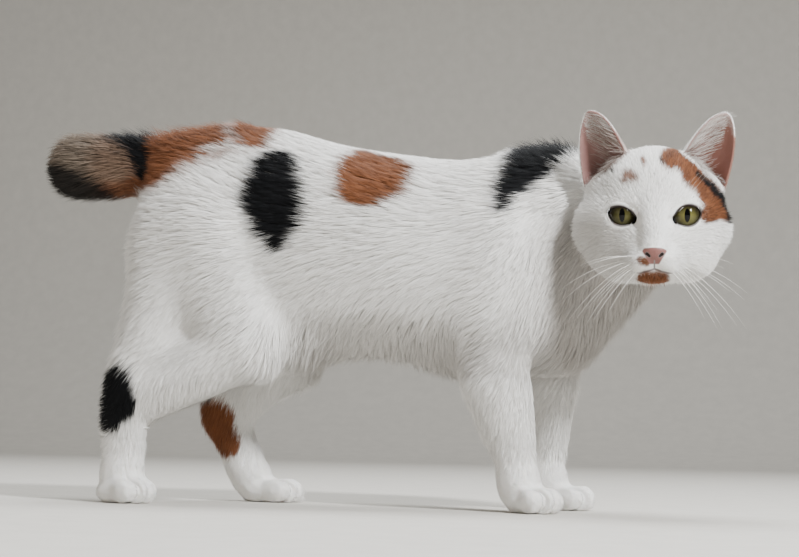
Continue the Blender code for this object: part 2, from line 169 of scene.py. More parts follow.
def wire(tree, node, settings=None, links=None):
    """Gives a node its settings and the sockets that feed it. links maps an input to (node, output)."""
    for key, value in (settings or {}).items():
        if isinstance(key, str) and hasattr(node, key):
            setattr(node, key, value)
        else:
            node.inputs[key].default_value = value
    for key, (source, output) in (links or {}).items():
        tree.links.new(source.outputs[output], node.inputs[key])
    return node


def add_node(tree, kind, settings=None, links=None):
    """A new node with its settings and links."""
    return wire(tree, tree.nodes.new(kind), settings, links)


def new_material(name):
    made = bpy.data.materials.new(name)
    made.use_nodes = True
    return made, made.node_tree, made.node_tree.nodes["Principled BSDF"]


def shaded(colour, factor):
    return [c * factor for c in colour[:3]] + [1.0]


def coat_colour(tree, coat, fade):
    """White, tan, orange and black by the patches that skin and tufts both carry.

    fade darkens the root of a tuft, as little light reaches it there.
    """
    change = add_node(tree, "ShaderNodeAttribute", {"attribute_name": "change"})
    tones = {}
    # The darkest and the lightest hairs of each colour, as shares of it
    for name, low, high in (("white", 0.84, 1.0), ("tan", 0.45, 1.35), ("orange", 0.50, 1.35),
                            ("black", 0.7, 1.6)):
        base = getattr(coat, name)
        ends = {"data_type": "RGBA", 6: shaded(base, low), 7: shaded(base, high)}
        tones[name] = add_node(tree, "ShaderNodeMix", ends, {0: (change, 2)})
    colour = tones["white"]
    for name in ("tan", "orange", "black"):
        mark = add_node(tree, "ShaderNodeAttribute", {"attribute_name": name})
        colour = add_node(tree, "ShaderNodeMix", {"data_type": "RGBA"},
                          {0: (mark, 2), 6: (colour, 2), 7: (tones[name], 2)})
    if not fade:
        return colour
    along = add_node(tree, "ShaderNodeAttribute", {"attribute_name": "along"})
    depth = add_node(tree, "ShaderNodeMapRange", {"To Min": 0.80, "To Max": 1.0, "From Max": 0.7},
                     {0: (along, 2)})
    return add_node(tree, "ShaderNodeVectorMath", {"operation": "SCALE"},
                    {0: (colour, 2), "Scale": (depth, 0)})


def coat_material():
    # Guard hair of a cat, smooth-scaled keratin: it gives the eye a soft broad shine and no hard gloss
    made, tree, shader = new_material("cat guard hair")
    colour = coat_colour(tree, bpy.context.scene.cat_coat, True)
    wire(tree, shader, {"Roughness": 0.62, "IOR": 1.45, "Specular IOR Level": 0.15, "Sheen Weight": 0.03,
                        "Sheen Roughness": 0.5}, {"Base Color": (colour, 0)})
    return made


def skin_material():
    # Skin under short felted underfur: pink and moist where it is bare, matt where hair covers it
    made, tree, shader = new_material("cat skin and underfur")
    fur = coat_colour(tree, bpy.context.scene.cat_coat, False)
    bare_skin = list(bpy.context.scene.cat_head.skin)
    place = add_node(tree, "ShaderNodeTexCoord")
    # Strands of 0.5 mm, and blotches of 6 mm where the blood shows
    strands = add_node(tree, "ShaderNodeTexNoise", {"Scale": 2000.0, "Detail": 2.0},
                       {"Vector": (place, "Object")})
    blood = add_node(tree, "ShaderNodeTexNoise", {"Scale": 160.0, "Detail": 3.0},
                     {"Vector": (place, "Object")})
    pink = add_node(tree, "ShaderNodeMix", {"data_type": "RGBA", 6: to_linear("#7E4E46"), 7: bare_skin},
                    {0: (blood, 0)})
    bare = add_node(tree, "ShaderNodeAttribute", {"attribute_name": "bare"})
    dark = add_node(tree, "ShaderNodeAttribute", {"attribute_name": "dark"})
    colour = add_node(tree, "ShaderNodeMix", {"data_type": "RGBA"}, {0: (bare, 2), 6: (fur, 2), 7: (pink, 2)})
    # Dark brown of the lids' rims and the lip, and painted shade in the nostrils, the mouth's crease, the
    # depths of the ears and between the toes
    colour = add_node(tree, "ShaderNodeMix", {"data_type": "RGBA", 7: to_linear("#22130F")},
                      {0: (dark, 2), 6: (colour, 2)})
    gloss = add_node(tree, "ShaderNodeMapRange", {"To Min": 0.85, "To Max": 0.42}, {0: (bare, 2)})
    bump = add_node(tree, "ShaderNodeBump", {"Strength": 0.35, "Distance": 0.0004}, {"Height": (strands, 0)})
    wire(tree, shader, {"Subsurface Weight": 0.08, "Subsurface Radius": (0.004, 0.002, 0.001)},
         {"Base Color": (colour, 2), "Roughness": (gloss, 0), "Normal": (bump, 0)})
    return made


def eye_material(word):
    # Cornea over a streaked iris: it gives the eye a wet clear gloss over colour that lies deep
    head = bpy.context.scene.cat_head
    made, tree, shader = new_material("wet cornea and iris " + word)
    place = add_node(tree, "ShaderNodeTexCoord")
    matrix = eye_matrix(SIDES[word])
    frame_of_eye = {"vector_type": "TEXTURE", "Location": matrix.translation, "Rotation": matrix.to_euler()}
    turned = add_node(tree, "ShaderNodeMapping", frame_of_eye, {"Vector": (place, "Object")})
    axes = add_node(tree, "ShaderNodeSeparateXYZ", None, {0: (turned, 0)})
    flat = add_node(tree, "ShaderNodeCombineXYZ", None, {"Y": (axes, 1), "Z": (axes, 2)})

    def sized(half_width, half_height):
        """Distance from the middle of the eye as a share of an upright oval."""
        scale = (1, 1 / half_width, 1 / half_height)
        shrunk = add_node(tree, "ShaderNodeVectorMath", {"operation": "MULTIPLY", 1: scale}, {0: (flat, 0)})
        return add_node(tree, "ShaderNodeVectorMath", {"operation": "LENGTH"}, {0: (shrunk, 0)})

    ring = sized(0.0088, 0.0088)
    pupil = sized(head.pupil_width / 2, head.pupil_height / 2)
    # The right eye turns from the light, so its iris is darker and the upper lid shades more of it
    light, shade_from = {"right": (0.52, -0.0012), "left": (0.92, 0.0005)}[word]
    streaks = add_node(tree, "ShaderNodeTexNoise", {"Scale": 900.0, "Detail": 3.0}, {"Vector": (turned, 0)})
    base = add_node(tree, "ShaderNodeMix", {"data_type": "RGBA", 6: shaded(to_linear("#2A2815"), light),
                                            7: shaded(head.iris, light)}, {0: (streaks, 0)})
    # The pale middle, the dark edge, the shade of the upper lid and the pupil, each from where it begins to
    # where it is whole
    for source, output, begins, whole, colour in (
            (ring, 1, 0.75, 0.25, shaded(to_linear("#6A6636"), light)),
            (ring, 1, 0.62, 0.98, to_linear("#120E09")),
            (axes, 2, shade_from, 0.0062, to_linear("#1C170E")),
            (pupil, 1, 1.06, 0.92, to_linear("#020202"))):
        share = add_node(tree, "ShaderNodeMapRange", {"From Min": begins, "From Max": whole},
                         {0: (source, output)})
        base = add_node(tree, "ShaderNodeMix", {"data_type": "RGBA", 7: colour},
                        {0: (share, 0), 6: (base, 2)})
    wire(tree, shader, {"Roughness": 0.5, "IOR": 1.38, "Specular IOR Level": 0.0, "Coat Weight": 1.0,
                        "Coat Roughness": 0.015, "Coat IOR": 1.30}, {"Base Color": (base, 2)})
    return made


def plain_material(name, code, roughness, scale):
    """A matt or satin surface whose tone changes a little, scale times in a metre."""
    made, tree, shader = new_material(name)
    colour = to_linear(code)
    place = add_node(tree, "ShaderNodeTexCoord")
    change = add_node(tree, "ShaderNodeTexNoise", {"Scale": scale}, {"Vector": (place, "Object")})
    tone = add_node(tree, "ShaderNodeMix", {"data_type": "RGBA", 6: shaded(colour, 0.85), 7: colour},
                    {0: (change, 0)})
    wire(tree, shader, {"Roughness": roughness}, {"Base Color": (tone, 2)})
    return made


# Meshes

def link_mesh(name, mesh, material=None):
    obj = bpy.data.objects.new(name, mesh)
    bpy.context.scene.collection.objects.link(obj)
    if material:
        mesh.materials.append(material)
    mesh.shade_smooth()
    return obj


def from_bmesh(name, bm, material=None):
    mesh = bpy.data.meshes.new(name)
    bm.to_mesh(mesh)
    bm.free()
    return link_mesh(name, mesh, material)


def applied(obj, name):
    """The object as its modifiers leave it."""
    graph = bpy.context.evaluated_depsgraph_get()
    mesh = bpy.data.meshes.new_from_object(obj.evaluated_get(graph))
    bpy.data.objects.remove(obj)
    return link_mesh(name, mesh)


def copied_nodes(names, grow):
    """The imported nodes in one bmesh, each grown a little so that the thin cuts between them close."""
    whole = bmesh.new()
    for name in names:
        bm = bmesh.new()
        bm.from_mesh(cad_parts[name].data)
        bmesh.ops.remove_doubles(bm, verts=bm.verts, dist=1e-6)
        bm.normal_update()
        for vert, move in [(v, v.normal * grow) for v in bm.verts]:
            vert.co += move
        mesh = bpy.data.meshes.new("copy")
        bm.to_mesh(mesh)
        bm.free()
        whole.from_mesh(mesh)
        bpy.data.meshes.remove(mesh)
    return whole


def listed(items, key, width=1, kind=float):
    """One value of every item of a mesh, as rows of so many numbers."""
    values = np.empty(len(items) * width, kind)
    items.foreach_get(key, values)
    return values.reshape(-1, width) if width > 1 else values


def coordinates(mesh):
    return listed(mesh.vertices, "co", 3)


def vertex_normals(mesh):
    return listed(mesh.vertex_normals, "vector", 3)


def set_coordinates(mesh, co):
    mesh.vertices.foreach_set("co", co.ravel())
    mesh.update()


def relaxed(mesh, co, passes, weight):
    """Moves each point towards the mean of its neighbours, by its weight."""
    a, b = listed(mesh.edges, "vertices", 2, int).T
    count = len(co)
    share = np.bincount(a, minlength=count) + np.bincount(b, minlength=count)
    share = np.maximum(share, 1)[:, None]
    for _ in range(passes):
        total = np.empty_like(co)
        for k in range(3):
            total[:, k] = np.bincount(a, co[b, k], count) + np.bincount(b, co[a, k], count)
        co = co + (total / share - co) * weight[:, None]
    return co


def eye_matrix(side):
    """The eye's own frame: +X out of the pupil, +Z up."""
    splay = Matrix.Rotation(side * math.radians(4), 3, "Z")
    turn = (HEAD_TURN @ splay).to_4x4()
    turn.translation = HEAD_AT + HEAD_TURN @ Vector((EYE_AT.x, side * EYE_AT.y, EYE_AT.z))
    return turn


def near_eyes(local, reach):
    """1 at the lids and 0 past reach, for points in the head's frame in millimetres."""
    gaps = []
    for side in (-1, 1):
        away = local - np.array((EYE_AT.x * 1000 + 6, side * EYE_AT.y * 1000, 0))
        gaps.append(np.sqrt((away[:, 0] / 1.2) ** 2 + away[:, 1] ** 2 + (away[:, 2] * 1.25) ** 2))
    return fall(10.5, 10.5 + reach, np.minimum(*gaps))


def near_mouth(local):
    """1 at nose, mouth and nostrils, 0 on the rest of the head."""
    x, y, z = local.T
    return ease(34, 42, x) * fall(12, 19, np.abs(y)) * fall(-18, -13, z)


# The patches of the coat

def patch(points, strokes, soft=0.06):
    """1 inside a patch and 0 outside. A stroke is (start, end, radius at start, radius at end), all in mm."""
    best = np.full(len(points), 9.0)
    for start, end, first, last in strokes:
        start, end = np.array(start, float), np.array(end, float)
        run = end - start
        t = np.clip((points - start) @ run / max(run @ run, 1e-9), 0, 1)
        away = np.linalg.norm(points - start - t[:, None] * run, axis=1)
        best = np.minimum(best, away / (first + (last - first) * t))
    return fall(1 - soft, 1 + soft, best)


# Side view of the body, x and z in mm
HIP_OVAL = (((-35, 233), (-31, 205), 19, 18), ((-35, 219), (-31, 205), 23, 21),
            ((-31, 205), (-30, 187), 18, 10))
BACK_SQUARE = (((24, 241), (52, 234), 13, 12), ((22, 236), (50, 232), 13.5, 12),
               ((24, 224), (48, 227), 13, 13.5), ((30, 219), (36, 218), 9.5, 10))
SHOULDER_WEDGE = (((127, 211), (129, 228), 5, 9), ((129, 228), (139, 241), 9, 14),
                  ((139, 241), (155, 249), 14, 11), ((155, 250), (172, 256), 10, 6),
                  ((138, 230), (152, 240), 9, 9))
RUMP_ORANGE = (((-126, 246), (-110, 256), 23, 19), ((-118, 258), (-86, 266), 18, 11),
               ((-146, 231), (-130, 236), 7, 13))
RUMP_SPOT = (((-68, 272), (-50, 268), 8, 10), ((-60, 268), (-51, 260), 8, 8))
RUMP_MIXED = (((-126, 238), (-90, 250), 11, 10), ((-90, 250), (-62, 260), 10, 9))
TAIL_BLACK = (((-160, 270), (-146, 264), 12, 13), ((-150, 264), (-138, 242), 11, 7),
              ((-140, 246), (-136, 234), 7, 3.5))
TAIL_DARK = (((-206, 234), (-178, 224), 13, 12), ((-178, 226), (-168, 224), 11, 8))
HOCK_BLACK = (((-142, 84), (-139, 70), 12, 14), ((-144, 76), (-146, 58), 11, 9))
FAR_ORANGE = (((-92, 65), (-82, 44), 12, 11.5), ((-96, 68), (-84, 64), 7, 8))
FAR_BLACK = (((-106, 80), (-98, 79), 4, 5),)
OFF_SIDE_BLACK = (((26, 226), (58, 214), 16, 20),)
OFF_SIDE_ORANGE = (((-62, 214), (-40, 190), 19, 14),)

# Front view of the head, y and z in mm
CROWN_ORANGE = (((10, 38), (19, 40), 7.5, 8), ((19, 36), (26, 28), 7.5, 6), ((24, 26), (36, 16), 6.5, 7.5),
                ((35, 14), (44, 4), 7.5, 7.5), ((40, 6), (36, 0), 7, 5.5))
CROWN_BLACK = (((27.5, 27.5), (38, 19.5), 2.0, 2.6), ((39, 17.5), (45, 10), 2.6, 3.0),
               ((45, 10), (47.5, -2), 3.0, 3.2), ((3.4, 38.5), (5, 34.5), 1.0, 0.8),
               ((-31, 32.5), (-27, 29.8), 0.9, 0.8))
CROWN_FLECKS = (((-17.5, 26.5), (-14, 25.5), 3.8, 3.4), ((-8, 37), (-7.6, 34.5), 1.9, 1.6),
                ((-21, 23), (-19, 24), 2, 2))
CHIN_BROWN = (((-7.5, -41), (6, -41), 3.4, 3.6), ((-5, -41), (3, -41.5), 4.6, 4.6))
LIP_BROWN = (((-8.6, -29.8), (-5.2, -31), 2.7, 2.6),)


def shaken(points, size, amount):
    """Points pushed about by soft noise, so that the edge of a patch isn't a clean line."""
    pushes = np.array([noise.noise_vector(Vector(p) / size) for p in points])
    return points + pushes * amount


def body_marks(points):
    """The patches of body, legs and tail at points in the model's frame, with painted shade on belly, chest
    and neck.
    """
    local = shaken(body_local(points), 9.0, 2.6)
    x, y, z = local.T
    side_view = local[:, (0, 2)]
    near, far, leg = y < 8, y > 8, z < 125
    on_tail = fall(-148, -138, x) * (z > 200)
    under_tail = ease(-186, -166, x) * fall(230, 242, z) * 0.85
    # Below the orange of the rump, orange and white hairs are mixed
    mixed = np.clip(0.7 + 1.3 * swirl(points, 0.006, 9)[:, 1], 0, 1)
    orange = np.maximum.reduce([
        patch(side_view, BACK_SQUARE, 0.14) * near,
        patch(side_view, RUMP_ORANGE, 0.34),
        patch(side_view, RUMP_SPOT, 0.2) * (y < 30),
        patch(side_view, RUMP_MIXED, 0.5) * mixed,
        patch(side_view, FAR_ORANGE) * leg * (y > 0),
        patch(side_view, OFF_SIDE_ORANGE) * far,
        on_tail * np.maximum(under_tail, 0.28 * ease(-186, -168, x))])
    black = np.maximum.reduce([
        patch(side_view, HIP_OVAL, 0.10) * near,
        patch(side_view, SHOULDER_WEDGE) * (y < 26),
        patch(side_view, TAIL_BLACK),
        patch(side_view, TAIL_DARK, 0.25) * 0.92,
        patch(side_view, HOCK_BLACK) * leg * (y < 0),
        patch(side_view, FAR_BLACK) * leg * (y > 0),
        patch(side_view, OFF_SIDE_BLACK) * far])
    # Painted shade: belly, chest and the neck behind the head are tinted warm, for the warm shade under the
    # belly and the head's shadow on chest and neck
    belly = 0.42 * fall(100, 145, z) * ease(-40, -10, x) * ease(85, 100, z)
    chest = 0.55 * ease(135, 172, x) * fall(185, 225, z) * ease(85, 105, z)
    return {"tan": np.maximum.reduce([on_tail, belly, chest]), "orange": orange, "black": black}


def above_ear_base(local):
    """Height over the line where an ear leaves the skull, for points in the head's frame in millimetres."""
    reach = np.abs(local[:, 1])
    return local[:, 2] - (39.5 - (reach - 19) * 0.84)


def on_ear(local):
    x, y, z = local.T
    return ease(-1.0, 2.5, above_ear_base(local)) * (np.abs(y) > 16.5) * (x < 8)


def head_marks(points):
    """The patches of the head and the backs of the ears, with painted shade on the right cheek and under the
    lip.
    """
    local = head_local(points)
    ear = on_ear(local) > 0.5
    local = shaken(local, 6.0, 1.3)
    x, y, z = local.T
    front = local[:, 1:]
    face = (x > -30) & ~ear
    crown = patch(front, CROWN_ORANGE, 0.2) * face
    chin = patch(front, CHIN_BROWN, 0.4) * (x > 20)
    lip = patch(front, LIP_BROWN, 0.5) * (x > 30)
    back_left = ear & (y > 0) & (x < -10)
    rim_right = ear & (y < 0) & (y > -34) & (above_ear_base(local) < 24)
    flecks = patch(front, CROWN_FLECKS, 0.6) * 0.9 * face
    orange = np.maximum.reduce([crown, flecks, chin, lip, back_left * 0.9, rim_right * 0.6])
    # Dark hairs grow among the orange ones of the crown. The chin's brown darkens towards its top: painted
    # shade under the lip.
    among = np.clip(swirl(points, 0.006, 7)[:, 0] + 0.35, 0, 1)
    black = np.maximum.reduce([patch(front, CROWN_BLACK, 0.2) * face, 0.45 * among * crown,
                               chin * 0.34 * ease(-43, -38, z), lip * 0.35])
    # Painted shade: the right cheek, turned from the light, is tinted warm
    cheek_shade = 0.30 * ease(8, 26, -y) * fall(-8, 6, z) * ease(-30, 0, x) * ~ear
    return {"tan": cheek_shade, "orange": orange, "black": black}


# Nose and mouth, front view, y and z in mm of the head's frame
NOSTRILS = (((-5.0, -25.2), (-3.4, -26.6), 1.3, 1.0), ((5.0, -25.2), (3.4, -26.6), 1.3, 1.0))
MOUTH_LINE = (((0, -29.5), (0, -35), 0.45, 0.5),
              ((0, -35), (4, -36.5), 0.6, 0.7), ((4, -36.5), (9, -37.8), 0.7, 0.7),
              ((9, -37.8), (12, -37.9), 0.6, 0.3), ((0, -35), (-4, -36.5), 0.6, 0.7),
              ((-4, -36.5), (-9, -37.8), 0.7, 0.7), ((-9, -37.8), (-12, -37.9), 0.6, 0.3))


def nose_leather(local):
    """1 on the bare leather of the nose: wide above, narrow at the split of the lip."""
    x, y, z = local.T
    half = 8.0 - 0.60 * np.maximum(0, -23.5 - z) - 0.55 * np.maximum(0, z + 23.5)
    high = fall(-21.4, -20.6, z + 0.015 * y * y)
    return ease(-0.5, 0.5, half - np.abs(y)) * high * ease(-32.4, -31.4, z) * (x > 38)


# Skin

def head_only(local):
    """1 on the head and its ears, 0 on the rest, from points in the head's frame in millimetres."""
    x, y, z = local.T
    away = np.sqrt(((x + 3) / 47) ** 2 + (y / 56) ** 2 + ((z - 2) / 50) ** 2)
    return np.maximum(fall(0.98, 1.12, away), ease(22, 30, z) * (x > -34) * (np.abs(y) < 60) * (x < 30))


def body_depth(points):
    """How deep the coat is over the body's skin."""
    x, y, z = body_local(points).T
    depth = np.full(len(points), 3.4)
    arch = np.exp(-((x - 34) / 42) ** 2)
    depth += (1.0 + 3.0 * arch) * fall(108, 142, z) * ease(-20, 0, x) * fall(105, 120, x)
    depth += 1.6 * fall(-140, -118, x) * ease(100, 130, z)
    legs = fall(78, 122, z)
    depth += (1.7 - depth) * legs
    depth += (0.8 - depth) * fall(20, 32, z)
    return depth * MM


def head_depth(local):
    """How deep the coat is over the head's skin."""
    x, y, z = local.T
    cheek = ease(24, 50, np.abs(y)) * fall(8, 22, z)
    depth = 1.0 + 1.6 * cheek + 0.8 * fall(-20, 0, x) + 3.4 * ease(34, 50, y) * fall(4, 16, z)
    depth = depth + (0.35 - depth) * on_ear(local)
    closeness = np.maximum(near_eyes(local, 14), near_mouth(local))
    # Under the lids and the inner corners of the eyes the skin lies deeper, so that it stays behind them
    corner = fall(3.2, 5.5, np.hypot(np.abs(y) - 12.6, z + 4.6)) * (x > 0)
    return (depth + (0.25 - depth) * closeness + 0.9 * near_eyes(local, 2.5) + 1.3 * corner) * MM


def ear_hollow(local, normals):
    """1 on the inner face of an ear cup. The cup opens forwards, and each of its sides faces the other."""
    up = above_ear_base(local)
    reach = np.abs(local[:, 1])
    share = np.clip(up / 55, 0, 0.95)
    # 0 at the inner edge of the ear and 1 at its outer edge
    place = np.clip((reach - 19 - 29 * share) / (28 * (1 - share)), 0, 1)
    turned = normals @ TURN
    facing = turned[:, 0] * 0.7 + turned[:, 1] * np.sign(local[:, 1]) * (0.9 - 1.7 * place)
    return (up > 1.0) * (reach > 17) * (local[:, 0] < 5) * ease(0.05, 0.3, facing)


def inside_head(points):
    """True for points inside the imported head."""
    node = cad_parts["head"].data
    tree = BVHTree.FromPolygons([v.co for v in node.vertices], [p.vertices for p in node.polygons])
    found = [tree.find_nearest(Vector(p)) for p in points]
    return np.array([(Vector(p) - f[0]).dot(f[1]) < 0 for p, f in zip(points, found)])


def remeshed(name, bm, voxel):
    obj = from_bmesh(name, bm)
    modifier = obj.modifiers.new("skin", "REMESH")
    modifier.mode = "VOXEL"
    modifier.voxel_size = voxel
    return applied(obj, name)


def thinned(obj, name, ratio):
    modifier = obj.modifiers.new("thin", "DECIMATE")
    modifier.ratio = ratio
    return applied(obj, name)


def lighter(obj, name, triangles):
    """A copy of a mesh with fewer triangles and its own unwrap, for rooting tufts."""
    mesh = obj.data.copy()
    mesh.calc_loop_triangles()
    copy = thinned(link_mesh(name, mesh), name, min(1.0, triangles / len(mesh.loop_triangles)))
    bpy.context.view_layer.objects.active = copy
    copy.select_set(True)
    bpy.ops.object.mode_set(mode="EDIT")
    bpy.ops.mesh.select_all(action="SELECT")
    bpy.ops.uv.smart_project(angle_limit=math.radians(66), island_margin=0.002)
    bpy.ops.object.mode_set(mode="OBJECT")
    copy.select_set(False)
    return copy


def write_marks(mesh, marks):
    for name, values in marks.items():
        layer = mesh.attributes.new(name, "FLOAT", "POINT")
        layer.data.foreach_set("value", np.ascontiguousarray(values, np.float32))


# What one operator leaves for the next ones
STORE = {}
# Grain of the remeshed skins, and how far each node grows so that the cuts between them close, in m
BODY_GRAIN = 0.0018
PAW_GRAIN = 0.0008
HEAD_GRAIN = 0.00062
CUT_GROWTH = 0.0003
PAW_GROWTH = 0.0002
# Shares of the triangles that body, paws and head keep
KEPT = (0.16, 0.36, 0.18)
PAW_TOP = 0.058
MOST_TRIANGLES = 190000
# Side of the patch that a tuft has on the unwrap
TUFT_PATCH = 0.003
NOISE_SEED = 3


def build_body_skin():
    """The flesh from tail to head in one coarse skin."""
    obj = remeshed("body_skin", copied_nodes(BODY_NODES + ("head",), CUT_GROWTH), BODY_GRAIN)
    mesh = obj.data
    co = coordinates(mesh)
    low = ease(0.020, 0.034, co[:, 2])
    co = relaxed(mesh, co, 26, 0.10 + 0.40 * low)
    set_coordinates(mesh, co)
    normals = vertex_normals(mesh)
    # Where the finer skin of head and paws covers this one, it lies deeper
    covered = 0.0016 * np.maximum(head_only(head_local(co)), fall(0.040, 0.050, co[:, 2]))
    co = co - normals * (body_depth(co) + covered)[:, None]
    co[:, 2] = np.maximum(co[:, 2], 0.0004)
    co = relaxed(mesh, co, 4, 0.1 + 0.3 * low)
    set_coordinates(mesh, co)
    return obj


# Heel of each paw along and across the body, its length, in m, and its turn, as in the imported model
PAWS = ((-0.1560, -0.0365, 0.0455, -0.40), (-0.0725, 0.0435, 0.0490, -0.20), (0.1340, -0.0280, 0.043, -0.65),
        (0.1505, 0.0380, 0.043, -0.35))
# Middle to middle of two toes, in mm
TOE_PITCH = 8.1


def toe_creases(points):
    """1 in the middle of the creases between the toes, 0 a millimetre beside them."""
    place = points - np.array(MODEL_SHIFT)
    deep = np.zeros(len(points))
    for heel, across, length, turn in PAWS:
        x, y = place[:, 0] - heel, place[:, 1] - across
        ahead = (x * math.cos(turn) + y * math.sin(turn)) / length
        aside = (-x * math.sin(turn) + y * math.cos(turn)) * 1000
        near = (ahead > 0) & (ahead < 1.15) & (np.abs(aside) < 18) & (place[:, 2] < 0.026)
        for crease in (-TOE_PITCH, 0.0, TOE_PITCH):
            # The toes spread a little towards the front
            line = crease * (1 + 0.14 * (ahead - 0.74))
            begin = 0.60 if crease == 0 else 0.55
            width = 0.85 + 0.7 * ease(0.85, 1.0, ahead)
            deep = np.maximum(deep, near * ease(begin, begin + 0.14, ahead)
                              * np.exp(-((aside - line) / width) ** 2))
    return deep


def build_paw_skin():
    """The four paws in a fine skin, with the creases between the toes deepened."""
    bm = copied_nodes(LEG_NODES, PAW_GROWTH)
    bmesh.ops.bisect_plane(bm, geom=bm.verts[:] + bm.edges[:] + bm.faces[:], plane_co=(0, 0, PAW_TOP),
                           plane_no=(0, 0, 1), clear_outer=True)
    bmesh.ops.holes_fill(bm, edges=[e for e in bm.edges if e.is_boundary])
    bmesh.ops.recalc_face_normals(bm, faces=bm.faces)
    obj = remeshed("paw_skin", bm, PAW_GRAIN)
    mesh = obj.data
    start = coordinates(mesh)
    one = np.ones(len(start))
    co = relaxed(mesh, start, 12, one * 0.5)
    toes = fall(0.018, 0.026, co[:, 2])
    co = co + (co - relaxed(mesh, co, 30, one * 0.5)) * (0.9 * toes)[:, None]
    co = relaxed(mesh, co, 4, one * 0.5)
    set_coordinates(mesh, co)
    depth = 0.0006 + 0.0018 * ease(0.018, 0.038, co[:, 2]) + 0.0030 * ease(0.042, 0.054, co[:, 2])
    depth += 0.0017 * toe_creases(co)
    co = co - vertex_normals(mesh) * depth[:, None]
    co[:, 2] = np.maximum(co[:, 2], 0.0003)
    set_coordinates(mesh, co)
    return obj


def build_head_skin():
    """The head and ears in a fine skin, with lids, nose and mouth kept crisp."""
    obj = remeshed("head_skin", copied_nodes(HEAD_NODES, CUT_GROWTH), HEAD_GRAIN)
    mesh = obj.data
    co = coordinates(mesh)
    local = head_local(co)
    keep = np.maximum(near_eyes(local, 3), near_mouth(local))
    ear = on_ear(local)
    co = relaxed(mesh, co, 50, 0.5 * (1 - keep) * (1 - 0.75 * ear) + 0.05 * keep)
    set_coordinates(mesh, co)
    normals = vertex_normals(mesh)
    co = co - normals * head_depth(head_local(co))[:, None]
    set_coordinates(mesh, co)
    return obj


def finer_muzzle(mesh):
    """More vertices at nose and mouth, so that their colours have clean edges."""
    close = near_mouth(head_local(coordinates(mesh))) > 0.6
    bm = bmesh.new()
    bm.from_mesh(mesh)
    bm.verts.ensure_lookup_table()
    edges = [e for e in bm.edges if close[e.verts[0].index] and close[e.verts[1].index]]
    bmesh.ops.subdivide_edges(bm, edges=edges, cuts=3, smooth=0.6, use_grid_fill=True)
    bmesh.ops.triangulate(bm, faces=bm.faces)
    bm.to_mesh(mesh)
    bm.free()


class CAT_OT_skin(bpy.types.Operator):
    """One skin under the coat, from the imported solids"""
    bl_idname = "cat.skin"
    bl_label = "Skin"

    def execute(self, context):
        body, paws, head = build_body_skin(), build_paw_skin(), build_head_skin()
        STORE["body_light"] = lighter(body, "body_light", 16000)
        STORE["paw_light"] = lighter(paws, "paw_light", 12000)
        STORE["head_light"] = lighter(head, "head_light", 14000)
        parts = [thinned(obj, obj.name, ratio) for obj, ratio in zip((body, paws, head), KEPT)]
        finer_muzzle(parts[2].data)
        counts = [len(p.data.vertices) for p in parts]
        whole = bmesh.new()
        for part in parts:
            whole.from_mesh(part.data)
            bpy.data.objects.remove(part)
        STORE["skin_material"] = skin_material()
        skin = from_bmesh("skin", whole, STORE["skin_material"])
        mesh = skin.data
        co, normals = coordinates(mesh), vertex_normals(mesh)
        is_head = np.arange(len(co)) >= counts[0] + counts[1]
        is_paw = (np.arange(len(co)) >= counts[0]) & ~is_head
        on_body, on_head = body_marks(co), head_marks(co)
        marks = {key: np.where(is_head, on_head[key], on_body[key]) for key in on_head}
        local = head_local(co)
        left = local[:, 1] > 0
        hollow = ear_hollow(local, normals) * is_head
        front = is_head * (local[:, 0] > 30)
        nose = nose_leather(local) * front
        mouth = patch(local[:, 1:], MOUTH_LINE, 0.4) * front
        bare = np.maximum.reduce([hollow * (0.82 - 0.22 * left), nose, mouth * 0.8])
        marks["tan"] = np.maximum(marks["tan"], hollow * 0.65)
        # Darker: painted shade in the nostrils; the mouth's line, partly its dark lip and partly painted shade
        # in its crease;
        # the nose's own deeper pink; the hollows of the ears, the right one more; painted shade in their
        # depths and in a thin line between the toes
        dark = np.maximum.reduce([
            patch(local[:, 1:], NOSTRILS, 0.3) * front, mouth * 0.7, nose * 0.22,
            hollow * (0.10 - 0.04 * left),
            hollow * 0.5 * fall(3, 16, above_ear_base(local)),
            0.60 * is_paw * ease(0.35, 0.9, toe_creases(co))])
        marks["dark"] = dark
        marks["bare"] = bare * (1 - dark * (dark > 0.5))
        marks["change"] = np.full(len(co), 0.55)
        write_marks(mesh, marks)
        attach(skin, "root")
        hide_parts(*BODY_NODES, *HEAD_NODES)
        return {"FINISHED"}


# Tufts

def marked(marks_at, shape, slide, change):
    """The marks at root and tip of each tuft, read where its lower and its upper half lie."""
    low, high = (marks_at(shape["root"] + shape["lie"] * (shape["length"] * share + slide)[:, None])
                 for share in (0.3, 0.78))
    marks = {key: (low[key], high[key]) for key in low}
    marks["change"] = (change, change)
    return marks


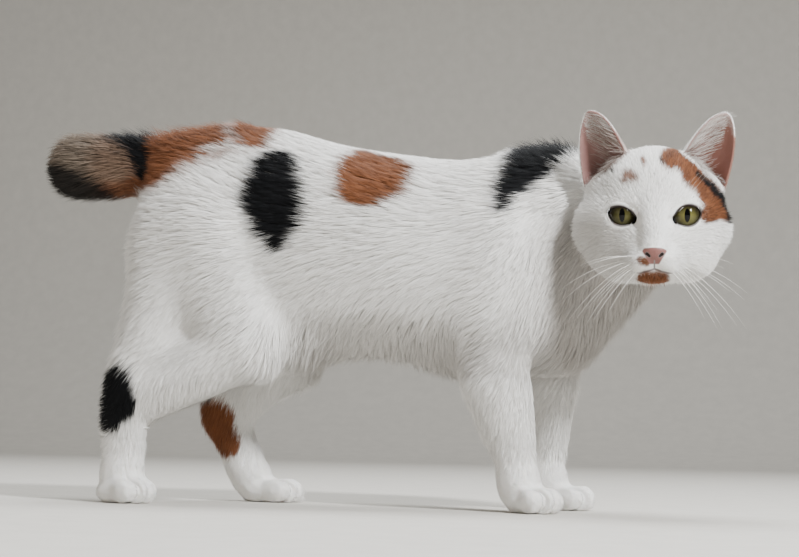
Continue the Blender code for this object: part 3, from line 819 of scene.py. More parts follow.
def sampled(obj, count, density, seed):
    """Roots spread over a mesh: place, soft normal and place on the unwrap."""
    mesh = obj.data
    mesh.calc_loop_triangles()
    corners = listed(mesh.loop_triangles, "vertices", 3, int)
    loops = listed(mesh.loop_triangles, "loops", 3, int)
    co, normals = coordinates(mesh), vertex_normals(mesh)
    uv = listed(mesh.uv_layers.active.data, "uv", 2)
    a, b, c = (co[corners[:, k]] for k in range(3))
    area = np.linalg.norm(np.cross(b - a, c - a), axis=1) / 2
    weight = area * density((a + b + c) / 3, normals[corners].mean(1))
    rng = np.random.default_rng(seed)
    steps = np.cumsum(weight) / weight.sum()
    # Even steps along the sum of areas, each shaken, spread the roots better than plain chance
    draws = (np.arange(count) + rng.random(count)) / count
    chosen = np.searchsorted(steps, draws).clip(0, len(corners) - 1)
    u, v = rng.random(count), rng.random(count)
    flip = u + v > 1
    u[flip], v[flip] = 1 - u[flip], 1 - v[flip]
    shares = np.stack([1 - u - v, u, v], 1)[:, :, None]
    place, normal, spot = ((values * shares).sum(1) for values in
                           (co[corners[chosen]], normals[corners[chosen]], uv[loops[chosen]]))
    return place, normal / np.linalg.norm(normal, axis=1)[:, None], spot, rng


def unit(v):
    return v / np.maximum(np.linalg.norm(v, axis=1), 1e-9)[:, None]


def laid(direction, normals):
    """Directions turned flat on the skin."""
    return unit(direction - normals * (direction * normals).sum(1)[:, None])


def gathered(shape, every, reach, pull):
    """Bends tufts towards the tip of the lock that they belong to, and tilts their shading over its round.

    Every so-manieth tuft leads a lock. reach is half the width of a lock.
    """
    root, lie, length = shape["root"], shape["lie"], shape["length"][:, None]
    leads = np.arange(0, len(root), every)
    tree = KDTree(len(leads))
    for i, lead in enumerate(leads):
        tree.insert(Vector(root[lead] + lie[lead] * length[lead, 0] * 0.4), i)
    tree.balance()
    middle = root + lie * length * 0.4
    owner = leads[np.array([tree.find(Vector(p))[1] for p in middle])]
    away = root - root[owner]
    away -= lie * (away * lie).sum(1)[:, None]
    away -= shape["normal"] * (away * shape["normal"]).sum(1)[:, None]
    shape["droop"] = shape["droop"] - away * np.reshape(pull, (-1, 1))
    shape["tilt"] = np.clip(away / reach, -1, 1) * 0.35


def outward(mesh, shading):
    """Shading at each corner of each face, leant to the side that the face looks to.

    A tuft that hangs free is seen from behind too, where the shading of the coat's front would be black.
    """
    sides = np.repeat(listed(mesh.polygons, "normal", 3), listed(mesh.polygons, "loop_total", 1, int), axis=0)
    soft = unit(shading[listed(mesh.loops, "vertex_index", 1, int)])
    lean = np.maximum(0.1, 0.35 - (soft * sides).sum(1))
    return unit(soft + sides * lean[:, None])


def build_tufts(name, shape, marks, uv, rings=(0.0, 0.36, 0.72)):
    """Tapered three-sided tufts in pieces of no more than MOST_TRIANGLES.

    shape holds root, normal, lie, length, rise, width and droop of each tuft, how its shading tilts, and how
    round it is shaded. Its shading follows the skin's round more than its own sides, so that the coat reads
    as one soft surface. marks holds each mark's value at the root and at the tip.
    """
    root, normal, lie, droop = (shape[key] for key in ("root", "normal", "lie", "droop"))
    length, rise, width = (shape[key][:, None] for key in ("length", "rise", "width"))
    count = len(root)
    across = np.cross(normal, lie)
    sides, k = 3, len(rings)
    per = sides * k + 1
    profile = [(0.8 if k > 1 else 1.2) if s == 0 else 1.15 * (1 - s) ** 0.5 for s in rings]
    soft = unit(normal + shape["tilt"])
    # The underside is shaded as if it turned a little outwards, since hair there lets light through
    soft[:, 2] = np.maximum(soft[:, 2], -0.30)
    soft = unit(soft)
    crown = 0.30 + 0.6 * shape["round"][:, None]
    points = np.empty((count, per, 3))

    def spine(s):
        up = normal * (rise * (2 * s - s * s) - 0.0004 * (1 - s))
        return root + lie * length * s + up + droop * s * s

    for i, s in enumerate(rings):
        middle, half = spine(s), width * profile[i] / 2
        points[:, sides * i] = middle - across * half
        points[:, sides * i + 1] = middle + across * half
        points[:, sides * i + 2] = middle + normal * half * 0.6
    points[:, -1] = spine(1.0)
    points[:, :, 2] = np.maximum(points[:, :, 2], 0.00015)
    shading = np.repeat(soft[:, None], per, axis=1)
    shading[:, 0:sides * k:sides] -= (across * crown)[:, None]
    shading[:, 1:sides * k:sides] += (across * crown)[:, None]
    # Each ring is joined to the next one, the last one to the tip, and the first one is closed
    faces = [(p + j, p + (j + 1) % sides, p + (j + 1) % sides + sides, p + j + sides)
             for p in range(0, sides * (k - 1), sides) for j in range(sides)]
    last = sides * (k - 1)
    faces += [(last + j, last + (j + 1) % sides, sides * k) for j in range(sides)] + [(2, 1, 0)]
    corners = np.array([v for f in faces for v in f])
    sizes = np.array([len(f) for f in faces])
    starts = np.cumsum(sizes) - sizes
    along = np.array([s for s in rings for _ in range(sides)] + [1.0])
    spread = np.array([0.0, 1.0, 0.5] * k + [0.5])
    spot = np.stack([spread[corners], along[corners]], 1) - 0.5
    step = MOST_TRIANGLES // int((sizes - 2).sum())
    order = np.argsort(root[:, 0], kind="stable")
    for part, first in enumerate(range(0, count, step)):
        pick = order[first:first + step]
        tuft = np.arange(len(pick))[:, None]
        mesh = bpy.data.meshes.new(name)
        mesh.vertices.add(len(pick) * per)
        mesh.vertices.foreach_set("co", points[pick].ravel())
        mesh.loops.add(len(pick) * len(corners))
        mesh.loops.foreach_set("vertex_index", (corners + tuft * per).ravel().astype(np.int32))
        mesh.polygons.add(len(pick) * len(faces))
        mesh.polygons.foreach_set("loop_start", (starts + tuft * len(corners)).ravel().astype(np.int32))
        mesh.update(calc_edges=True)
        layer = mesh.uv_layers.new(name="OFBake")
        places = np.clip(uv[pick][:, None, :] + spot * TUFT_PATCH, 0, 1)
        layer.data.foreach_set("uv", places.astype(np.float32).ravel())
        for key, (low, high) in marks.items():
            low, high = low[pick][:, None], high[pick][:, None]
            write_marks(mesh, {key: (low + (high - low) * along).ravel()})
        write_marks(mesh, {"along": np.tile(along, len(pick))})
        piece = link_mesh(f"{name}_{part + 1}", mesh, STORE["coat_material"])
        mesh.normals_split_custom_set(outward(mesh, shading[pick].reshape(-1, 3)).tolist())
        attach(piece, "root")


def swirl(points, size, seed):
    """A soft field of small turns, so that neighbouring tufts lie alike but not the same."""
    shift = Vector((seed, seed * 2, seed * 3))
    return np.array([noise.noise_vector(Vector(p) / size + shift) for p in points])


def turned_to(lie, way, share):
    """Directions of growth turned by a share of the way to another."""
    return lie * (1 - share[:, None]) + np.array(way) * share[:, None]


def body_lie(points, normals):
    """Which way the hair grows on body, legs and tail."""
    x, y, z = body_local(points).T
    climb = 0.45 * ease(168, 225, z) * fall(40, 110, x)
    lie = np.stack([np.full(len(x), -1.0), y * 0, climb - 0.10 - 0.35 * fall(150, 235, z)], 1)
    # In turn: neck, its near side, chest, belly, thighs, legs, paws and tail
    for share, way in (
            (ease(118, 165, x), (-0.80, 0.50, -0.40)),
            (ease(105, 150, x) * fall(195, 225, z) * fall(-25, 5, y), (-0.62, 0.1, -0.85)),
            (ease(162, 188, x) * fall(165, 200, z), (-0.15, 0.1, -1.0)),
            (fall(118, 165, z) * ease(-60, -20, x) * fall(95, 118, x), (-0.14, 0, -1.0)),
            (fall(115, 185, z) * fall(-62, -30, x), (-0.62, 0, -0.75)),
            (fall(70, 110, z), (-0.16, 0, -1.0)),
            (fall(14, 30, z), (0.9, 0, -0.45)),
            (fall(-150, -138, x), (-1.0, 0, -0.1))):
        lie = turned_to(lie, way, share)
    return laid(lie, normals)


def head_lie(local, turned):
    """Which way the hair grows on the head, in the head's own frame: away from the nose."""
    lie = unit(local - np.array((56.0, 0.0, -23.0)))
    x, y, z = local.T
    side = np.sign(y)
    cheek = (ease(20, 46, np.abs(y)) * fall(-6, 12, z))[:, None]
    ruff = ease(36, 46, -y)[:, None]
    lie = lie + np.array((-0.2, 0, -0.45)) * cheek + np.array((0, -0.4, 0)) * ruff
    lip = ease(38, 43, x) * fall(-30, -27, z) * ease(-38, -36, z)
    lie = turned_to(lie, np.stack([x * 0 - 0.3, side, x * 0 - 0.15], 1), lip)
    # Round the eyes it lies away from the lids
    away = unit(np.stack([x * 0, y - side * EYE_AT.y * 1000, z - EYE_AT.z * 1000], 1))
    close = near_eyes(local, 4)[:, None]
    lie = lie * (1 - 0.85 * close) + away * close
    lie = turned_to(lie, unit(np.stack([-8 - x, side * 47 - y, 76 - z], 1)), on_ear(local))
    return laid(lie, turned)


def body_density(points, normals):
    x, y, z = body_local(points).T
    wanted = (1.0 + 0.9 * fall(70, 110, z)) * ease(38, 50, z)
    return np.where(inside_head(points), 0, wanted)


def paw_density(points, normals):
    z = points[:, 2]
    wanted = (z > 0.0012) * fall(0.042, 0.054, z) * (1 - 0.7 * ease(0.016, 0.034, z))
    return wanted * (1 - toe_creases(points)) ** 2


def head_density(points, normals):
    local = head_local(points)
    x, y, z = local.T
    wanted = 1.0 + 0.9 * ease(0, 30, x)
    bare = near_eyes(local, 0.8) > 0.5
    # The inner corner of each eye
    bare |= np.hypot(np.abs(y) - 10.5, z + 5.5) < 4.0
    nose = nose_leather(local) > 0.1
    lips = (patch(local[:, 1:], MOUTH_LINE, 0.5) > 0.1) & (x > 30)
    inside = ear_hollow(local, normals) > 0.3
    back = (x < -34) & (z < 0)
    return np.where(bare | nose | lips | inside, 0, np.where(back, 0.5, wanted))


def grow_body_coat(source, count, density, seed, names):
    """Tufts on one of the light skins. names holds the name of its flat coat and of its hanging coat."""
    root, normal, uv, rng = sampled(STORE[source], count // (1), density, seed)
    x, y, z = body_local(root).T
    forward, up = normal[:, 0], normal[:, 2]
    lie = body_lie(root, normal)
    lie = laid(lie + swirl(root, 0.030, 1) * 0.30 + rng.normal(0, 0.06, root.shape), normal)
    legs = fall(70, 118, z)
    paws = fall(16, 50, z)
    belly = fall(110, 136, z) * ease(-45, -15, x) * fall(100, 125, x)
    rear = fall(-142, -120, x) * ease(95, 130, z) * (z < 225)
    tail = fall(-150, -138, x) * (z > 200)
    size = np.full(len(x), bpy.context.scene.cat_coat.flank_length)
    size += (0.0078 - size) * legs
    size += (0.0023 - size) * paws
    size += 0.0020 * belly + 0.0015 * rear + 0.0010 * tail
    size *= (1 - 0.55 * fall(-213, -192, x) * tail) * rng.uniform(0.75, 1.25, len(x))
    rise = body_depth(root) * rng.uniform(0.55, 1.0, len(x)) * (1 - 0.3 * belly + 0.3 * tail - 0.4 * paws)
    # Along the rump and over the shoulders the hair stands out from the back
    tail_root = np.exp(-((x + 128) / 18) ** 2)
    crest = ease(0.45, 0.85, up) * (z > 200)
    crest *= np.maximum((1 + tail_root) * ease(-165, -150, x) * fall(-62, -48, x),
                        1.4 * ease(125, 145, x) * fall(180, 195, x))
    rise += 0.0022 * crest * rng.uniform(0.2, 1.2, len(x))
    # Under the belly the hair hangs free. Few tufts stand far out and most lie close, so the edge is spiky
    free = belly * ease(0.15, 0.6, -up)
    chest = ease(155, 180, x) * ease(75, 95, z) * fall(190, 225, z) * ease(0.2, 0.6, forward)
    backs = fall(105, 125, z) * ease(40, 60, z) * ease(0.2, 0.7, -forward)
    tail_edge = tail * ease(0.2, 0.7, np.maximum(np.abs(up), -forward))
    edge = np.maximum.reduce([0.0105 * free, 0.0062 * crest, 0.0045 * chest, 0.0034 * backs, 0.0034 * rear,
                              0.0038 * tail_edge])
    far = edge * rng.random(len(x)) ** 3.5
    rise += far
    size *= 1 - 28 * far
    width = (0.00034 + 0.032 * size) * rng.uniform(0.75, 1.25, len(x)) * (1 - 55 * far)
    down = np.zeros_like(root)
    down[:, 2] = -(0.04 + 0.18 * belly + 0.10 * legs) * size
    shape = {"root": root, "normal": normal, "lie": lie, "length": size, "rise": rise, "width": width,
             "droop": down, "round": np.clip(belly + 0.5 * rear, 0, 1)}
    gathered(shape, 20, 0.004, 0.40 + 0.35 * belly + 0.2 * rear - 0.2 * legs)
    shape["tilt"] = shape["tilt"] * (1 - 0.6 * paws[:, None]) + rng.normal(0, 0.07, root.shape)
    change = rng.random(len(x)) * 0.6 + 0.4 * (swirl(root, 0.02, 5)[:, 0] * 0.5 + 0.5)
    marks = marked(body_marks, shape, rng.normal(0, 0.0017, len(x)), change)
    # Hair that hangs or stands out bends on its way, and the flat coat is made of more and plainer tufts
    hangs = np.maximum.reduce([belly, 0.6 * rear, 0.5 * tail, 0.6 * crest, 0.4 * ease(150, 175, x)])
    bent = (hangs > 0.1 + 0.9 * rng.random(len(x))) | (far > 0.001)
    for name, pick, rings in ((names[0], ~bent, (0.0,)), (names[1], bent, (0.0, 0.45))):
        if pick.any():
            part = {key: value[pick] for key, value in shape.items()}
            own = {key: (low[pick], high[pick]) for key, (low, high) in marks.items()}
            build_tufts(name, part, own, uv[pick], rings)


class CAT_OT_body_coat(bpy.types.Operator):
    """Tufts of body, legs and tail"""
    bl_idname = "cat.body_coat"
    bl_label = "Body coat"

    def execute(self, context):
        STORE["coat_material"] = coat_material()
        count = context.scene.cat_coat.body_tufts
        grow_body_coat("body_light", count, body_density, 11, ("coat_flat", "coat_hanging"))
        grow_body_coat("paw_light", count // 7, paw_density, 13, ("coat_paws", "coat_paws_hanging"))
        return {"FINISHED"}


class CAT_OT_head_coat(bpy.types.Operator):
    """Short tufts of the head and the backs of the ears"""
    bl_idname = "cat.head_coat"
    bl_label = "Head coat"

    def execute(self, context):
        coat = context.scene.cat_coat
        count = coat.head_tufts // 1
        root, normal, uv, rng = sampled(STORE["head_light"], count, head_density, 23)
        local, turned = head_local(root), normal @ TURN
        x, y, z = local.T
        reach = np.abs(y)
        lie = head_lie(local, turned) @ TURN.T
        lie = laid(lie + swirl(root, 0.012, 3) * 0.16 + rng.normal(0, 0.05, root.shape), normal)
        size = np.full(len(x), coat.face_length)
        size += (0.0030 - size) * ease(22, 44, x) * fall(0, 14, z)
        lip = ease(36, 42, x) * fall(-31, -28, z) * ease(-39, -37, z)
        size += (0.0014 - size) * lip
        cheek = ease(26, 48, reach) * fall(2, 20, z)
        size += 0.0045 * cheek - 0.0015 * ease(36, 48, y) + 0.0035 * ease(34, 48, -y) * fall(5, 25, z)
        size += 0.0040 * fall(-26, -4, x)
        size += (0.0021 - size) * on_ear(local)
        size += (0.0020 - size) * near_eyes(local, 7)
        size *= rng.uniform(0.75, 1.25, len(x))
        rise = head_depth(local) * rng.uniform(0.7, 1.2, len(x)) + 0.00030
        # The hair stands out at the edge of the cheeks and under the chin
        fringe = ease(38, 50, reach) * fall(4, 20, z) + 0.7 * fall(-44, -36, z) * fall(20, 34, x)
        fringe = np.clip(fringe, 0, 1)
        rise += (0.0014 - 0.0008 * (y > 0)) * fringe * rng.uniform(0.0, 1.2, len(x))
        rise += 0.0026 * fringe * rng.random(len(x)) ** 3.5
        width = (0.00031 + 0.042 * size) * rng.uniform(0.75, 1.25, len(x))
        down = np.zeros_like(root)
        down[:, 2] = -0.08 * size
        shape = {"root": root, "normal": normal, "lie": lie, "length": size, "rise": rise, "width": width,
                 "droop": down, "round": x * 0}
        gathered(shape, 10, 0.0016, 0.35)
        shape["tilt"] += rng.normal(0, 0.14, root.shape)
        change = rng.random(len(x)) * 0.9 - 0.2 + 0.3 * (swirl(root, 0.012, 5)[:, 0] * 0.5 + 0.5)
        marks = marked(head_marks, shape, rng.normal(0, 0.0014, len(x)), change)
        build_tufts("coat_head", shape, marks, uv, rings=(0.0,))
        return {"FINISHED"}


def stand_out(source, name, count, density, seed, lie_at, marks_at, longest, widest, lift):
    """Sparse fine hairs that stand out of the coat. lift gives how high their tips rise over the skin."""
    root, normal, uv, rng = sampled(STORE[source], count // (1), density, seed)
    lie = laid(lie_at(root, normal) + rng.normal(0, 0.16, root.shape), normal)
    size = longest * rng.uniform(0.6, 1.0, len(root))
    down = rng.normal(0, 0.0007, root.shape)
    down[:, 2] -= 0.0012
    rise = lift(root, normal) * rng.uniform(0.5, 1.1, len(root))
    shape = {"root": root, "normal": normal, "lie": lie, "length": size, "rise": rise,
             "width": np.full(len(root), widest), "droop": down, "tilt": np.zeros_like(root),
             "round": size * 0 + 1}
    marks = marked(marks_at, shape, rng.normal(0, 0.0010, len(root)), rng.uniform(0.5, 1.0, len(root)))
    build_tufts(name, shape, marks, uv, rings=(0.0, 0.45))


def body_fringe(points, normals):
    """Where single hairs leave the body's outline."""
    x, y, z = body_local(points).T
    forward, up = normals[:, 0], normals[:, 2]
    high = z > 200
    belly = fall(110, 134, z) * ease(-45, -15, x) * fall(100, 125, x) * ease(0.0, 0.5, -up)
    chest = ease(150, 175, x) * ease(70, 95, z) * fall(190, 225, z) * ease(0.0, 0.5, forward)
    backs = fall(105, 125, z) * ease(34, 60, z) * ease(0.1, 0.6, -forward)
    rump = ease(0.35, 0.75, up) * high * fall(-40, -10, x)
    shoulders = ease(0.35, 0.75, up) * high * ease(115, 140, x)
    tail = fall(-150, -138, x) * high
    rear = ease(0.2, 0.7, -forward) * ease(95, 125, z)
    wanted = np.maximum.reduce([belly * 3.0, chest, backs * 0.8, rump * 0.8, shoulders, tail * 0.9,
                                rear * 0.8])
    return np.where(inside_head(points), 0, wanted)


def body_lift(points, normals):
    """How high single hairs of the body rise, in m."""
    x, y, z = body_local(points).T
    high = 0.0050 + 0.0020 * ease(120, 145, x) * (z > 200) - 0.0022 * fall(70, 95, z)
    high = high + 0.0032 * ease(0.2, 0.7, -normals[:, 2]) * ease(90, 100, z)
    return high - 0.0015 * fall(-190, -150, x) * (z > 200)


def head_fringe(points, normals):
    """Where single hairs leave the head's outline: cheeks, chin and the edges of the ears."""
    x, y, z = head_local(points).T
    cheeks = ease(34, 48, np.abs(y)) * fall(6, 22, z) * (x > -30)
    chin = fall(-44, -36, z) * (x > 0)
    crown = 0.25 * ease(34, 42, z) * (np.abs(y) < 20) * (x > -20)
    return np.maximum.reduce([cheeks, chin, crown])


def head_lift(points, normals):
    """How high single hairs of the head rise, in m."""
    y = head_local(points)[:, 1]
    return 0.0030 - 0.0010 * (y > 0)


class CAT_OT_single_hairs(bpy.types.Operator):
    """Sparse fine hairs that stand out at the edges of body and head"""
    bl_idname = "cat.single_hairs"
    bl_label = "Single hairs"

    def execute(self, context):
        def over_head(points, normals):
            return head_lie(head_local(points), normals @ TURN) @ TURN.T

        stand_out("body_light", "single_hairs_body", 9500, body_fringe, 41, body_lie, body_marks,
                  0.0145, 0.00028, body_lift)
        stand_out("head_light", "single_hairs_head", 2000, head_fringe, 43, over_head, head_marks,
                  0.0085, 0.00022, head_lift)
        return {"FINISHED"}


class CAT_OT_ear_hair(bpy.types.Operator):
    """Long pale hairs inside the ears, from the inner edge and the base"""
    bl_idname = "cat.ear_hair"
    bl_label = "Ear hair"

    def execute(self, context):
        def wanted(points, normals):
            local = head_local(points)
            # The inner edge rises from (19, 39.5) to the tip at (48, 70)
            from_edge = (np.abs(local[:, 1]) - 19) * 0.725 - (local[:, 2] - 39.5) * 0.69
            grown = np.clip(fall(2.0, 13.0, from_edge) + 0.8 * fall(3, 9, above_ear_base(local)), 0, 1)
            return np.where((local[:, 2] < 69) & (ear_hollow(local, normals) > 0.3), grown, 0)

        count = 1300 // 1
        root, normal, uv, rng = sampled(STORE["head_light"], count, wanted, 31)
        y, z = head_local(root)[:, 1:].T
        none = y * 0
        out = np.stack([none + 0.30, np.sign(y), 0.25 + 0.35 * rng.random(count)], 1)
        lie = laid(out @ TURN.T + rng.normal(0, 0.10, root.shape), normal)
        # The way that is left to the outer edge of the ear, which falls from its tip to (47, 16)
        left = np.clip(47.5 - np.abs(y) + 2.0 * ease(40, 70, z), 3.0, 17.0) * MM
        size = np.minimum(rng.uniform(0.008, 0.016, count) * (1 - 0.5 * ease(52, 70, z)), left)
        shape = {"root": root, "normal": normal, "lie": lie, "length": size,
                 "rise": rng.uniform(0.0012, 0.0040, count), "width": none + 0.00022,
                 "droop": np.zeros_like(root), "tilt": np.zeros_like(root), "round": none}
        rim = 0.10 + 0.45 * (y < 0) * fall(50, 60, z)
        marks = {"tan": (none + 0.55, none + 0.28), "orange": (rim, rim * 0.4), "black": (none, none),
                 "change": (rng.uniform(0.4, 1.0, count),) * 2}
        build_tufts("ear_hair", shape, marks, uv)
        return {"FINISHED"}


# Eyes

# Half width of the opening between the lids, and its height above and below the middle, in mm
LID_OPENING = {-1: (9.4, 5.0, 6.4), 1: (8.8, 6.1, 6.8)}
# How far out from the opening each row of the lid lies, how high over the eyeball, in mm, and how dark it is
LID_ROWS = ((0.0, 0.0, 1.0), (0.25, 0.50, 1.0), (0.7, 0.85, 1.0), (1.15, 1.08, 0.75), (1.6, 1.38, 0.15),
            (2.4, 1.65, 0.0), (3.4, 1.75, 0.0), (4.6, 1.40, 0.0), (4.6, 0.4, 0.0), (0.5, -0.8, 1.0))


def lid_point(side, angle, grow, lift):
    """A point of a lid, given by its angle round the opening, with the inner corner drawn out to the nose."""
    half_width, above, below = LID_OPENING[side]
    y, z = math.cos(angle), math.sin(angle)
    half_height = above if z > 0 else below
    across = y * (half_width + grow)
    up = z * (half_height + grow) * (0.80 + 0.20 * z * z)
    inner = max(0.0, -y) ** 9 * (1 - grow / 7)
    across -= 2.2 * inner
    up -= 1.5 * inner
    radius = EYE_RADIUS * 1000 + lift
    out = math.sqrt(max(radius ** 2 - across ** 2 - up ** 2, 1.0))
    turn = Matrix.Rotation(side * math.radians(9), 3, "Z") @ Matrix.Rotation(side * math.radians(16), 3, "X")
    place = turn @ Vector((out, side * across, up))
    return from_head(EYE_AT.x * 1000 + place.x, side * EYE_AT.y * 1000 + place.y, place.z)


def build_lids(word, side):
    """The upper and lower lid as one closed ring that rolls from the eyeball out into the fur."""
    bm = bmesh.new()
    layer = bm.verts.layers.float.new("dark")
    rings = []
    for grow, lift, dark in LID_ROWS:
        ring = bmesh.ops.create_circle(bm, segments=64, radius=1.0)["verts"]
        for vert in ring:
            angle = math.atan2(vert.co.y, vert.co.x)
            # The upper lid is darker and its dark edge is wider than that of the lower one
            upper = max(0.0, math.sin(angle))
            vert[layer] = dark * (0.85 + 0.15 * upper)
            vert.co = lid_point(side, angle, grow * (0.85 + 0.40 * upper if dark > 0 else 1.0), lift)
        rings.append(ring)
    for first, second in zip(rings, rings[1:] + rings[:1]):
        pair = {*first, *second}
        edges = [e for e in bm.edges if e.verts[0] in pair and e.verts[1] in pair and len(e.link_faces) < 2]
        loops = [e for e in edges if (e.verts[0] in first) == (e.verts[1] in first)]
        bmesh.ops.bridge_loops(bm, edges=loops)
    bmesh.ops.recalc_face_normals(bm, faces=bm.faces)
    lids = from_bmesh("lids_" + word, bm, STORE["skin_material"])
    co = coordinates(lids.data)
    marks = head_marks(co)
    marks["bare"] = co[:, 0] * 0
    # Painted shade: the lids' fur is tinted a little tan and kept to the darker whites
    marks["tan"] = marks["tan"] + 0.10
    marks["change"] = co[:, 0] * 0 + 0.2
    write_marks(lids.data, marks)
    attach(lids, "root")


def strand(points, radii):
    """A round strand through points, with its own radius at each."""
    curve = bpy.data.curves.new("strand", "CURVE")
    curve.dimensions = "3D"
    curve.bevel_depth = 1.0
    curve.bevel_resolution = 0
    curve.use_fill_caps = True
    spline = curve.splines.new("POLY")
    spline.points.add(len(points) - 1)
    for slot, point, radius in zip(spline.points, points, radii):
        slot.co = (*point, 1.0)
        slot.radius = radius
    obj = bpy.data.objects.new("strand", curve)
    bpy.context.scene.collection.objects.link(obj)
    return applied(obj, "strand")


def joined(name, pieces, material):
    """Several meshes in one piece, each closed and facing outwards."""
    bm = bmesh.new()
    for piece in pieces:
        bm.from_mesh(piece.data)
        bpy.data.objects.remove(piece)
    bmesh.ops.remove_doubles(bm, verts=bm.verts, dist=1e-7)
    bmesh.ops.recalc_face_normals(bm, faces=bm.faces)
    return from_bmesh(name, bm, material)


class CAT_OT_eyes(bpy.types.Operator):
    """Eyeballs with iris and pupil, and the dark rims of the lids"""
    bl_idname = "cat.eyes"
    bl_label = "Eyes"

    def execute(self, context):
        for word, side in SIDES.items():
            bm = bmesh.new()
            bmesh.ops.create_uvsphere(bm, u_segments=64, v_segments=40, radius=EYE_RADIUS - 0.0001)
            bmesh.ops.rotate(bm, verts=bm.verts, matrix=Matrix.Rotation(math.radians(90), 3, "Y"))
            for vert in bm.verts:
                # The cornea swells a little in front of the ball
                spread = math.hypot(vert.co.y, vert.co.z)
                if vert.co.x > 0 and spread < 0.0080:
                    vert.co.x += 0.0006 * (1 - (spread / 0.0080) ** 2) ** 2
            bmesh.ops.transform(bm, matrix=eye_matrix(side), verts=bm.verts)
            ball = from_bmesh("eyeball_" + word, bm, eye_material(word))
            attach(ball, "root")
            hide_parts("eye_" + word)
            build_lids(word, side)
        return {"FINISHED"}


# Whiskers

class CAT_OT_whiskers(bpy.types.Operator):
    """Whiskers of the muzzle and the brows"""
    bl_idname = "cat.whiskers"
    bl_label = "Whiskers"

    def execute(self, context):
        longest = context.scene.cat_head.whisker_length * 1000
        # Whisker keratin: smooth, so that it gives the eye a fine bright line
        white = plain_material("white whisker keratin", "#F2EFE9", 0.35, 300.0)
        rng = np.random.default_rng(5)
        strands = []
        for side in (-1, 1):
            for row in range(4):
                for place in range(3 + (row in (1, 2))):
                    start = Vector((42 - 3.4 * place, side * (9.0 + 2.6 * place), -27.5 - 2.3 * row))
                    size = longest * (0.55 + 0.12 * place) * rng.uniform(0.85, 1.05)
                    size *= 0.9 if row == 0 else 1.0
                    fan = 0.42 - 0.34 * row + rng.uniform(-0.08, 0.08)
                    out = Vector((0.30 - 0.22 * place, side, fan - 0.30)).normalized()
                    sag = Vector((-0.10, -side * 0.10, -0.55))
                    strands.append((start, out, sag, size, 0.00023))
            for place in range(3):
                start = Vector((29 - place, side * (17 + 3.0 * place), 11.5))
                out = Vector((0.75, side * 0.35, 0.75)).normalized()
                size = longest * 0.42 * rng.uniform(0.8, 1.1)
                strands.append((start, out, Vector((-0.1, side * 0.25, -0.1)), size, 0.00008))
        pieces = []
        for start, out, sag, size, radius in strands:
            shares = [i / 14 for i in range(15)]
            path = [start + out * size * t + sag * size * t * t * 0.5 for t in shares]
            path = [from_head(*p) for p in path]
            radii = [max(radius * (1 - t) ** 0.7, 0.00003) for t in shares]
            pieces.append(strand(path, radii))
        whole = joined("whiskers", pieces, white)
        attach(whole, "root")
        return {"FINISHED"}


# Stage

# The photograph's width, its middle and where its horizon lies, in its pixels
PHOTO_COLUMNS = 799
PHOTO_MIDDLE_ROW = 278.5
HORIZON_ROW = 437


def area_light(name, place, aim, size, power, colour):
    light = bpy.data.lights.new(name, "AREA")
    light.energy = power
    light.shape = "DISK"
    light.size = size
    light.color = colour
    obj = bpy.data.objects.new(name, light)
    bpy.context.scene.collection.objects.link(obj)
    obj.location = place
    obj.rotation_euler = (Vector(aim) - Vector(place)).to_track_quat("-Z", "Y").to_euler()
    return obj


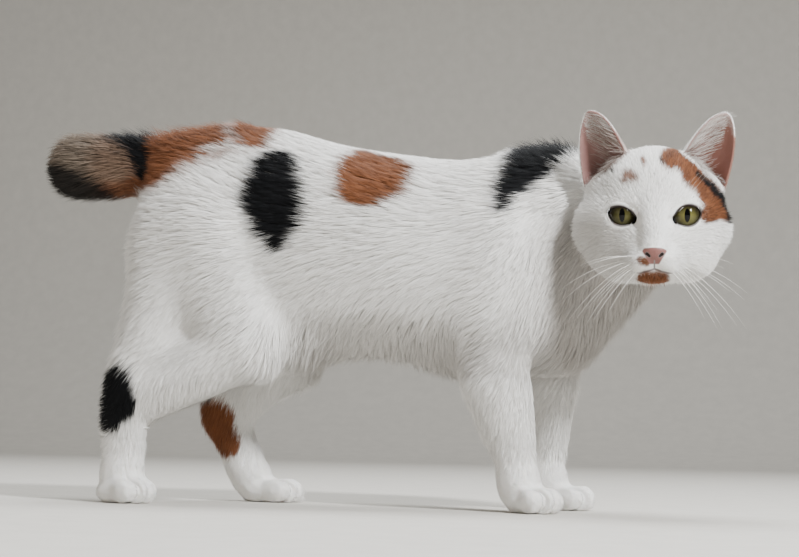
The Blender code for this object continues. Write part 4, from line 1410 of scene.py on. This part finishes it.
class CAT_OT_stage(bpy.types.Operator):
    """Pale floor, soft light and the photograph's camera"""
    bl_idname = "cat.stage"
    bl_label = "Stage"

    def execute(self, context):
        stage = context.scene.cat_stage
        bm = bmesh.new()
        profile = [bm.verts.new((-4, -3, 0)), bm.verts.new((-4, 2.2, 0))]
        bm.edges.new(profile)
        bend = bmesh.ops.spin(bm, geom=[profile[1]], cent=(-4, 2.2, 0.8), axis=(1, 0, 0), dvec=(0, 0, 0),
                              angle=math.radians(90), steps=24)
        top = [g for g in bend["geom_last"] if isinstance(g, bmesh.types.BMVert)][0]
        rise = bmesh.ops.extrude_vert_indiv(bm, verts=[top])
        bmesh.ops.translate(bm, verts=rise["verts"], vec=(0, 0, 3))
        strip = bmesh.ops.extrude_edge_only(bm, edges=bm.edges[:])
        moved = [g for g in strip["geom"] if isinstance(g, bmesh.types.BMVert)]
        bmesh.ops.translate(bm, verts=moved, vec=(8, 0, 0))
        bmesh.ops.recalc_face_normals(bm, faces=bm.faces)
        # Matt paper: it gives the eye an even pale ground
        paper = plain_material("matt paper backdrop", "#D2CEC6", 0.9, 40.0)
        floor = from_bmesh("floor", bm, paper)
        middle = (0, 0, 0.15)
        area_light("key", (1.25, -1.10, 1.35), middle, 0.30, stage.key_power, (0.96, 0.98, 1.0))
        area_light("fill", (-1.3, -1.5, 0.8), middle, 1.4, stage.fill_power, (1.0, 0.90, 0.80))
        area_light("top", (0.0, 0.5, 1.9), middle, 1.2, 46.0, (0.95, 0.98, 1.0))
        world = bpy.data.worlds.new("soft room")
        world.use_nodes = True
        world.node_tree.nodes["Background"].inputs[0].default_value = (1.0, 0.97, 0.93, 1.0)
        world.node_tree.nodes["Background"].inputs[1].default_value = 0.25
        context.scene.world = world
        # The camera stands at azimuth 8 degrees, 1.22 m from the body and 50 mm above the floor
        turn, distance, height, focal = math.radians(8), 1.224, 0.050, 1700.0
        pitch = math.atan((HORIZON_ROW - PHOTO_MIDDLE_ROW) / focal)
        camera = bpy.data.objects.new("camera", bpy.data.cameras.new("camera"))
        context.scene.collection.objects.link(camera)
        camera.data.sensor_width = 36
        camera.data.lens = 36 * focal / PHOTO_COLUMNS
        place = Vector((0.050 + distance * math.sin(turn), -distance * math.cos(turn), height)) + MODEL_SHIFT
        place.z = height
        camera.matrix_world = (Matrix.Translation(place) @ Matrix.Rotation(turn, 4, "Z")
                               @ Matrix.Rotation(math.radians(90) + pitch, 4, "X")
                               @ Matrix.Rotation(math.radians(1.2), 4, "Z"))
        context.scene.camera = camera
        return {"FINISHED"}


class CAT_PT_panel(bpy.types.Panel):
    """The pieces of the cat, in the order they are made"""
    bl_label = "Cat"
    bl_idname = "CAT_PT_panel"
    bl_space_type = "VIEW_3D"
    bl_region_type = "UI"
    bl_category = "Cat"

    def draw(self, context):
        for group in (context.scene.cat_coat, context.scene.cat_head, context.scene.cat_stage):
            for name in group.__annotations__:
                self.layout.prop(group, name)
        for operator in OPERATORS:
            self.layout.operator(operator.bl_idname)


OPERATORS = (CAT_OT_skin, CAT_OT_body_coat, CAT_OT_head_coat, CAT_OT_single_hairs, CAT_OT_ear_hair,
             CAT_OT_eyes, CAT_OT_whiskers, CAT_OT_stage)
CLASSES = (CoatSettings, HeadSettings, StageSettings) + OPERATORS + (CAT_PT_panel,)


def register():
    for item in CLASSES:
        bpy.utils.register_class(item)
    bpy.types.Scene.cat_coat = PointerProperty(type=CoatSettings)
    bpy.types.Scene.cat_head = PointerProperty(type=HeadSettings)
    bpy.types.Scene.cat_stage = PointerProperty(type=StageSettings)


def unregister():
    del bpy.types.Scene.cat_coat
    del bpy.types.Scene.cat_head
    del bpy.types.Scene.cat_stage
    for item in reversed(CLASSES):
        bpy.utils.unregister_class(item)


def main():
    # Without a seed the soft noise starts from the clock, and each run would lay the coat a little differently
    noise.seed_set(NOISE_SEED)
    register()
    bpy.ops.cat.skin()
    bpy.ops.cat.body_coat()
    bpy.ops.cat.head_coat()
    bpy.ops.cat.single_hairs()
    bpy.ops.cat.ear_hair()
    bpy.ops.cat.eyes()
    bpy.ops.cat.whiskers()
    bpy.ops.cat.stage()
    for name in ("body_light", "paw_light", "head_light"):
        bpy.data.objects.remove(STORE.pop(name))


if __name__ == "__main__":
    main()
